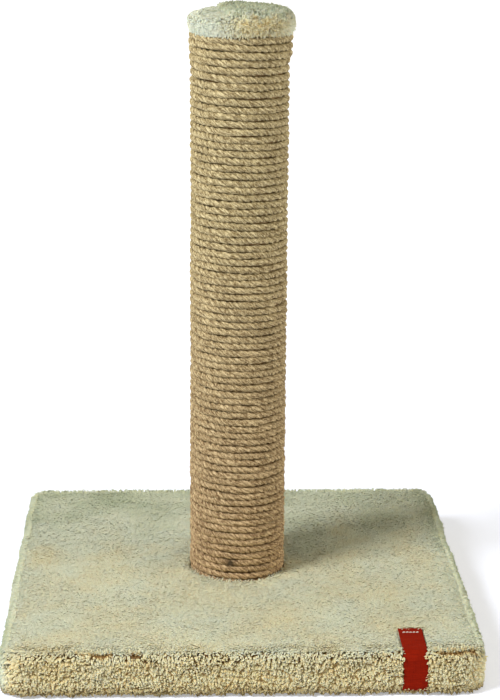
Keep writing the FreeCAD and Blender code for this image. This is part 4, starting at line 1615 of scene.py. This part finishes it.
def make_bolt():
    """Rings by height and angle. The socket's radius is half its width over the cosine of the angle from
    its nearest flat, the head's edge is a quarter round, and the shank's radius falls by the depth times
    a triangle wave of height over pitch less the share of a turn. A point closes each end."""
    angle = 2 * np.pi * np.arange(bolt_columns) / bolt_columns
    hexagon = socket_half / np.cos(angle % (np.pi / 3) - np.pi / 6)
    bend = np.linspace(0, np.pi / 2, 9)
    edge_radius = head_radius - head_round + head_round * np.sin(bend)
    edge_height = head_low + head_round - head_round * np.cos(bend)
    flat = np.ones(bolt_columns)
    radii = [0.5 * hexagon, hexagon, hexagon]
    radii += [radius * flat for radius in (*edge_radius, head_radius, bolt_radius)]
    heights = [head_low + socket_depth, head_low + socket_depth, head_low, *edge_height, head_seat, head_seat]
    thread_rows = np.arange(head_seat + 0.6, bolt_tip - 0.8, bolt_pitch / 6)
    phase = thread_rows[:, None] / bolt_pitch - angle[None, :] / (2 * np.pi)
    groove = 1 - np.abs(2 * (phase % 1) - 1)
    run_out = smooth_step((thread_rows - head_seat - 0.6) / 3)[:, None]
    radii += list(bolt_radius - thread_depth * groove * run_out)
    heights += thread_rows.tolist()
    radii += [(bolt_radius - thread_depth) * flat, 1.5 * flat]
    heights += [bolt_tip, bolt_tip]
    radii = np.array(radii)
    height = np.array(heights)[:, None] * flat
    rings = np.stack([radii * np.cos(angle), radii * np.sin(angle), height], axis=-1)
    ends = [[0, 0, head_low + socket_depth], [0, 0, bolt_tip]]
    points = np.concatenate([rings.reshape(-1, 3), ends])
    faces = grid_quads(len(rings), bolt_columns), end_fans(len(rings), bolt_columns)
    bolt = make_piece("threaded_bolt", points, *faces)
    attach(bolt, "bolt")
    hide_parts("fixing_bolt")
    return bolt


bolt = make_bolt()
print("bolt:", triangle_count(bolt), "triangles")

# %% [markdown]
# Sisal sheds: fine ends of fibre stand off the rope everywhere. They are made with the same tubes as the
# pile, very thin, with their roots on the outside of the winding.

# %% Loose fibres on the rope
fibre_count = 1600
fibre_taper = [0.26, 0.24, 0.2]
fibre_stations = 4
fibre_corners = 3


def grow_fibres():
    """Hairs at random places along the winding and round its outer half, leaning along the rope or across
    it."""
    chance = np.random.default_rng(101)
    count = fibre_count
    centre, heading, outward = rope_line(chance.uniform(0.2, rope_turns - 0.2, count))
    across = np.cross(heading, outward)
    round_it = chance.uniform(-1.1, 1.1, count)[:, None]
    normals = np.cos(round_it) * outward + np.sin(round_it) * across
    roots = centre + 0.42 * rope_thickness * normals
    way = chance.choice([-1.0, 1.0], count)[:, None]
    slant = chance.normal(0, 0.5, count)[:, None]
    leans = unit(way * np.cos(slant) * heading + np.sin(slant) * np.cross(normals, heading))
    tilts = (np.radians(chance.normal(62, 14, count)), np.radians(chance.normal(92, 14, count)))
    lengths = chance.uniform(3.0, 8.0, count)
    swirl = chance.normal(0, 0.7, count)
    spines, sides = lock_spines(roots, normals, leans, lengths, *tilts, swirl, fibre_stations)
    widths = np.tile(fibre_taper, (count, 1))
    points = tube_rings(spines, sides, widths, fibre_corners, 1.0).reshape(-1, 3)
    fibres = make_piece("rope_fibres", points, *tube_faces(count, fibre_stations, fibre_corners))
    add_number(fibres, "tone", np.repeat(chance.uniform(0, 1, count), len(points) // count))
    pile_bake_map(fibres, count, fibre_stations, fibre_corners)
    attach(fibres, "post")
    return fibres


rope_fibres = grow_fibres()
print("loose fibres:", triangle_count(rope_fibres), "triangles")

# %% [markdown]
# The plush is cream. Pile that lies over looks cooler and a little green, pile that stands up looks warmer,
# and the roots are beige. So the finish mixes by how far along its lock a point is, by the lock's own chance
# tone and by its warmth, with slow clouds over the piece. The same numbers also carry painted shade. Warmth
# below nought paints greener and darker colours, which at the back and edges of the base are painted shade.
# The roots of curly pile and the ground between it are painted brown, and the ground in a parting and the
# fringe at the floor are painted dark brown.

# %% Plush finish


def make_plush():
    """Root colour to tip colour along a lock, where the tip goes from green through cream to warm, with
    specks, and with painted shade: deep green, brown roots, and dark brown in partings and near the floor."""
    finish = Finish("cream_plush", roughness=0.95, specular=0.05)
    finish.shader.inputs["Subsurface Weight"].default_value = 0.55
    finish.shader.inputs["Subsurface Radius"].default_value = (1.0, 0.8, 0.55)
    finish.shader.inputs["Subsurface Scale"].default_value = 0.0015
    tip = finish.number("tip")
    tone = finish.number("tone")
    clouds = finish.noise(finish.places(), 22.0, detail=3.0)
    specks = finish.noise(finish.places(), 400.0, detail=2.0)
    warmth_and_shade = finish.maths("ADD", finish.number("warmth_and_shade"), finish.spread(clouds, 0.35, 0.65, -0.12, 0.12))
    cool = finish.mix(tone, paint(209, 215, 189), paint(216, 222, 197))
    warm = finish.mix(tone, paint(224, 211, 160), paint(232, 220, 174))
    green = finish.mix(tone, paint(154, 168, 140), paint(164, 178, 150))
    pale = finish.tint(cool, warm, warmth_and_shade, 0.0, 1.0)
    # Below nought the colour goes green, then deep green. At the back and the edges of the base this is
    # painted shade.
    pale = finish.tint(pale, green, warmth_and_shade, 0.0, -0.6)
    pale = finish.tint(pale, paint(122, 136, 110), warmth_and_shade, -0.6, -1.2)
    where_warm = finish.spread(warmth_and_shade, 0.0, 0.9, 0.15, 1.0)
    speckled = finish.maths("MULTIPLY", finish.spread(specks, 0.54, 0.64, 0.0, 0.9), where_warm)
    pale = finish.mix(speckled, pale, paint(190, 152, 94))
    root = finish.tint(paint(207, 209, 176), paint(216, 193, 138), warmth_and_shade, 0.0, 1.0)
    colour = finish.tint(root, pale, tip, 0.08, 0.85)
    # Painted shade: where the tip number is below nought, at the roots of curly pile and on the ground
    # between it, the colour is brown.
    colour = finish.tint(colour, paint(168, 124, 66), tip, 0.0, -0.35, 0.9)
    # Painted shade: warmth past 1.1, at the partings, is dark brown.
    colour = finish.tint(colour, paint(104, 74, 40), warmth_and_shade, 1.1, 1.6, 0.95)
    # Painted shade: the pile goes dark brown over the lowest eleven millimetres above the floor.
    colour = finish.tint(colour, paint(104, 86, 48), finish.axes()["Z"], 0.011, 0.001, 0.9)
    normal = finish.bump(finish.noise(finish.places(), 900.0, detail=2.0), 0.0006, 0.5)
    return finish.wear(colour, normal)


plush = make_plush()
for piece in [base_cover, *top_pile, *side_pile, cap_cover, cap_pile]:
    piece.data.materials.append(plush)
print("plush finish:", len(plush.node_tree.nodes), "nodes")

# %% [markdown]
# The ribbon is a deep red weave with a soft gloss, the stitches are cream thread, and the lining is
# charcoal felt. Each gets threads or fibres of its own: stretched noise for the ribbon's weft, fine noise
# for the felt.

# %% Ribbon, thread, lining and fibre finishes


def make_ribbon_red():
    """Deep red with fine weft and warp threads, a little worn."""
    finish = Finish("ribbon_red", roughness=0.75, specular=0.04)
    weft = finish.noise(finish.places((0.08, 1.0, 1.0)), 1500.0, detail=2.0)
    warp = finish.noise(finish.places((1.0, 0.06, 0.06)), 1300.0, detail=2.0)
    worn = finish.noise(finish.places(), 90.0, detail=4.0)
    colour = finish.tint(paint(118, 20, 4), paint(134, 26, 6), weft, 0.35, 0.65)
    colour = finish.tint(colour, paint(96, 14, 4), warp, 0.55, 0.75, 0.5)
    colour = finish.tint(colour, paint(136, 40, 14), worn, 0.6, 0.8, 0.25)
    normal = finish.bump(weft, 0.0002, 0.6)
    return finish.wear(colour, finish.bump(warp, 0.00015, 0.5, normal))


def make_thread():
    """Cream thread with its plies."""
    finish = Finish("cream_thread", roughness=0.6, specular=0.3, sheen=0.2)
    plies = finish.noise(finish.places((1.0, 0.4, 0.4)), 2600.0, detail=2.0)
    colour = finish.tint(paint(186, 184, 176), paint(234, 230, 218), plies, 0.35, 0.65)
    return finish.wear(colour, finish.bump(plies, 0.0001, 0.8))


def make_felt():
    """Charcoal felt: fibres along and across, and patches."""
    finish = Finish("charcoal_felt", roughness=0.95, specular=0.1, sheen=0.3)
    fibres = finish.noise(finish.places((1.0, 0.3, 1.0)), 900.0, detail=4.0, rough=0.7)
    cross = finish.noise(finish.places((0.3, 1.0, 1.0)), 900.0, detail=4.0, rough=0.7)
    patches = finish.noise(finish.places(), 30.0, detail=3.0)
    both = finish.maths("ADD", fibres, cross)
    colour = finish.tint(paint(66, 62, 58), paint(112, 107, 101), both, 0.8, 1.25)
    colour = finish.tint(colour, paint(80, 76, 72), patches, 0.4, 0.7, 0.4)
    return finish.wear(colour, finish.bump(both, 0.0004, 0.6))


def make_loose_fibre():
    """Straw hairs of different tones, browner in places."""
    finish = Finish("loose_sisal", roughness=0.6, specular=0.3)
    along = finish.noise(finish.places(), 300.0, detail=2.0)
    straw = finish.mix(finish.number("tone"), paint(176, 152, 106), paint(226, 210, 170))
    return finish.wear(finish.tint(straw, paint(150, 122, 80), along, 0.4, 0.7, 0.4))


soft_finishes = ((ribbon, make_ribbon_red()), (stitches, make_thread()), (lining, make_felt()),
                 (rope_fibres, make_loose_fibre()))
for piece, material in soft_finishes:
    piece.data.materials.append(material)
print("soft finishes:", [material.name for piece, material in soft_finishes])

# %% [markdown]
# The frame's own rigid pieces keep their shapes and take finishes here: chipboard with its chips, a spiral
# wound cardboard tube, plugs of plain board with grain, zinc plated steel, and dull wire for staples and
# nails.

# %% Board, cardboard and wood


def make_chipboard():
    """Chips as cells of a Voronoi pattern, a few of them dark, with dust over them."""
    finish = Finish("chipboard", roughness=0.85, specular=0.2)
    places = finish.places()
    chips = finish.add("ShaderNodeTexVoronoi", {"Vector": places, "Scale": 240.0, "Randomness": 1.0})
    shade = finish.add("ShaderNodeSeparateColor", {0: chips.outputs["Color"]}).outputs[0]
    dust = finish.noise(places, 700.0, detail=3.0)
    colour = finish.mix(shade, paint(158, 124, 82), paint(208, 178, 130))
    colour = finish.tint(colour, paint(112, 80, 48), shade, 0.84, 0.9, 0.7)
    colour = finish.tint(colour, paint(186, 152, 106), dust, 0.4, 0.7, 0.4)
    normal = finish.bump(chips.outputs["Distance"], 0.0006, 0.5)
    return finish.wear(colour, finish.bump(dust, 0.0003, 0.5, normal))


def make_cardboard():
    """Brown board with a seam that climbs in a spiral: the part after the point of height over pitch plus
    turns."""
    finish = Finish("tube_cardboard", roughness=0.8, specular=0.25)
    axes = finish.axes()
    turn = finish.maths("ARCTAN2", axes["Y"], axes["X"])
    climb = finish.maths("DIVIDE", axes["Z"], 0.11)
    spiral = finish.maths("FRACT", finish.maths("ADD", climb, finish.maths("DIVIDE", turn, 2 * math.pi)))
    seam = finish.spread(spiral, 0.014, 0.0, 0.0, 0.8)
    fibres = finish.noise(finish.places((1.0, 1.0, 0.35)), 420.0, detail=4.0, rough=0.65)
    blotches = finish.noise(finish.places(), 45.0, detail=2.0)
    colour = finish.tint(paint(158, 124, 84), paint(194, 162, 116), fibres, 0.35, 0.7)
    colour = finish.tint(colour, paint(170, 132, 90), blotches, 0.45, 0.7, 0.4)
    colour = finish.mix(seam, colour, paint(96, 70, 44))
    normal = finish.bump(fibres, 0.0002, 0.5)
    return finish.wear(colour, finish.bump(seam, -0.0004, 0.7, normal))


def make_plug_wood():
    """Grain as saw-tooth bands across X, bent by noise, with dark pores."""
    finish = Finish("plug_wood", roughness=0.75, specular=0.25)
    bent = finish.noise(finish.places((1.0, 0.25, 1.0)), 30.0, detail=2.0)
    bands = finish.maths("MULTIPLY", finish.axes()["X"], 260.0)
    wave = finish.maths("FRACT", finish.maths("ADD", bands, finish.maths("MULTIPLY", bent, 5.0)))
    pores = finish.noise(finish.places((1.0, 0.06, 1.0)), 1200.0, detail=2.0)
    colour = finish.tint(paint(214, 180, 128), paint(178, 136, 84), wave, 0.1, 0.95)
    colour = finish.tint(colour, paint(142, 104, 62), pores, 0.6, 0.75, 0.5)
    return finish.wear(colour, finish.bump(pores, 0.0002, 0.5))


# %% [markdown]
# Bolt, washer and nut are zinc plated, the staples are wire and the nails are dull. Real metal is never one
# even gloss, so one function gives them clouds, scratches and stains, in different colours.

# %% Metal


def make_metal(name, pale, dark, stain, roughness):
    """Metal in two shades with fine scratches, a patchy gloss and a stain in patches."""
    finish = Finish(name, roughness=roughness, specular=0.5, metal=1.0)
    cloud = finish.noise(finish.places(), 160.0, detail=4.0)
    scratch = finish.noise(finish.places((1.0, 1.0, 0.08)), 2400.0, detail=2.0)
    colour = finish.tint(pale, dark, cloud, 0.35, 0.65)
    colour = finish.tint(colour, pale, scratch, 0.55, 0.75, 0.35)
    colour = finish.tint(colour, stain, cloud, 0.68, 0.8, 0.5)
    gloss = finish.spread(cloud, 0.3, 0.7, roughness - 0.1, roughness + 0.15)
    finish.fill(finish.shader.inputs["Roughness"], gloss)
    return finish.wear(colour, finish.bump(scratch, 0.00008, 0.5))


# %% [markdown]
# The frame's own pieces take these finishes as they are. Their shapes belong to the CAD model, so only the
# material slots change.

# %% Finishes for the frame's rigid pieces


def dress(nodes, material):
    """Puts one material in every slot of some CAD nodes."""
    for node in nodes:
        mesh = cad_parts[node].data
        mesh.materials.clear()
        mesh.materials.append(material)


zinc = make_metal("zinc_steel", paint(204, 204, 200), paint(168, 170, 170), paint(150, 146, 136), 0.38)
wire = make_metal("staple_wire", paint(186, 184, 178), paint(150, 148, 142), paint(126, 108, 86), 0.42)
dull_steel = make_metal("dull_nail_steel", paint(96, 82, 64), paint(66, 54, 40), paint(88, 54, 30), 0.6)
bolt.data.materials.append(zinc)
dress(["base_board"], make_chipboard())
dress(["post_tube"], make_cardboard())
dress(["bottom_plug", "top_plug"], make_plug_wood())
dress(["bolt_washer", "tee_nut"], zinc)
dress(["hem_staples", "lining_staples", "label_staple"], wire)
dress(["bottom_plug_nails", "top_plug_nails", "rope_nails"], dull_steel)
print("finishes:", len(bpy.data.materials), "materials in the file")

# %% [markdown]
# The ribbon's length is worked out from its line, in metres. The plush goes over the board's top, its sides
# and the hem; the cap over the post's end and down its skirt.

# %% Length of the ribbon
ribbon_length() * MM
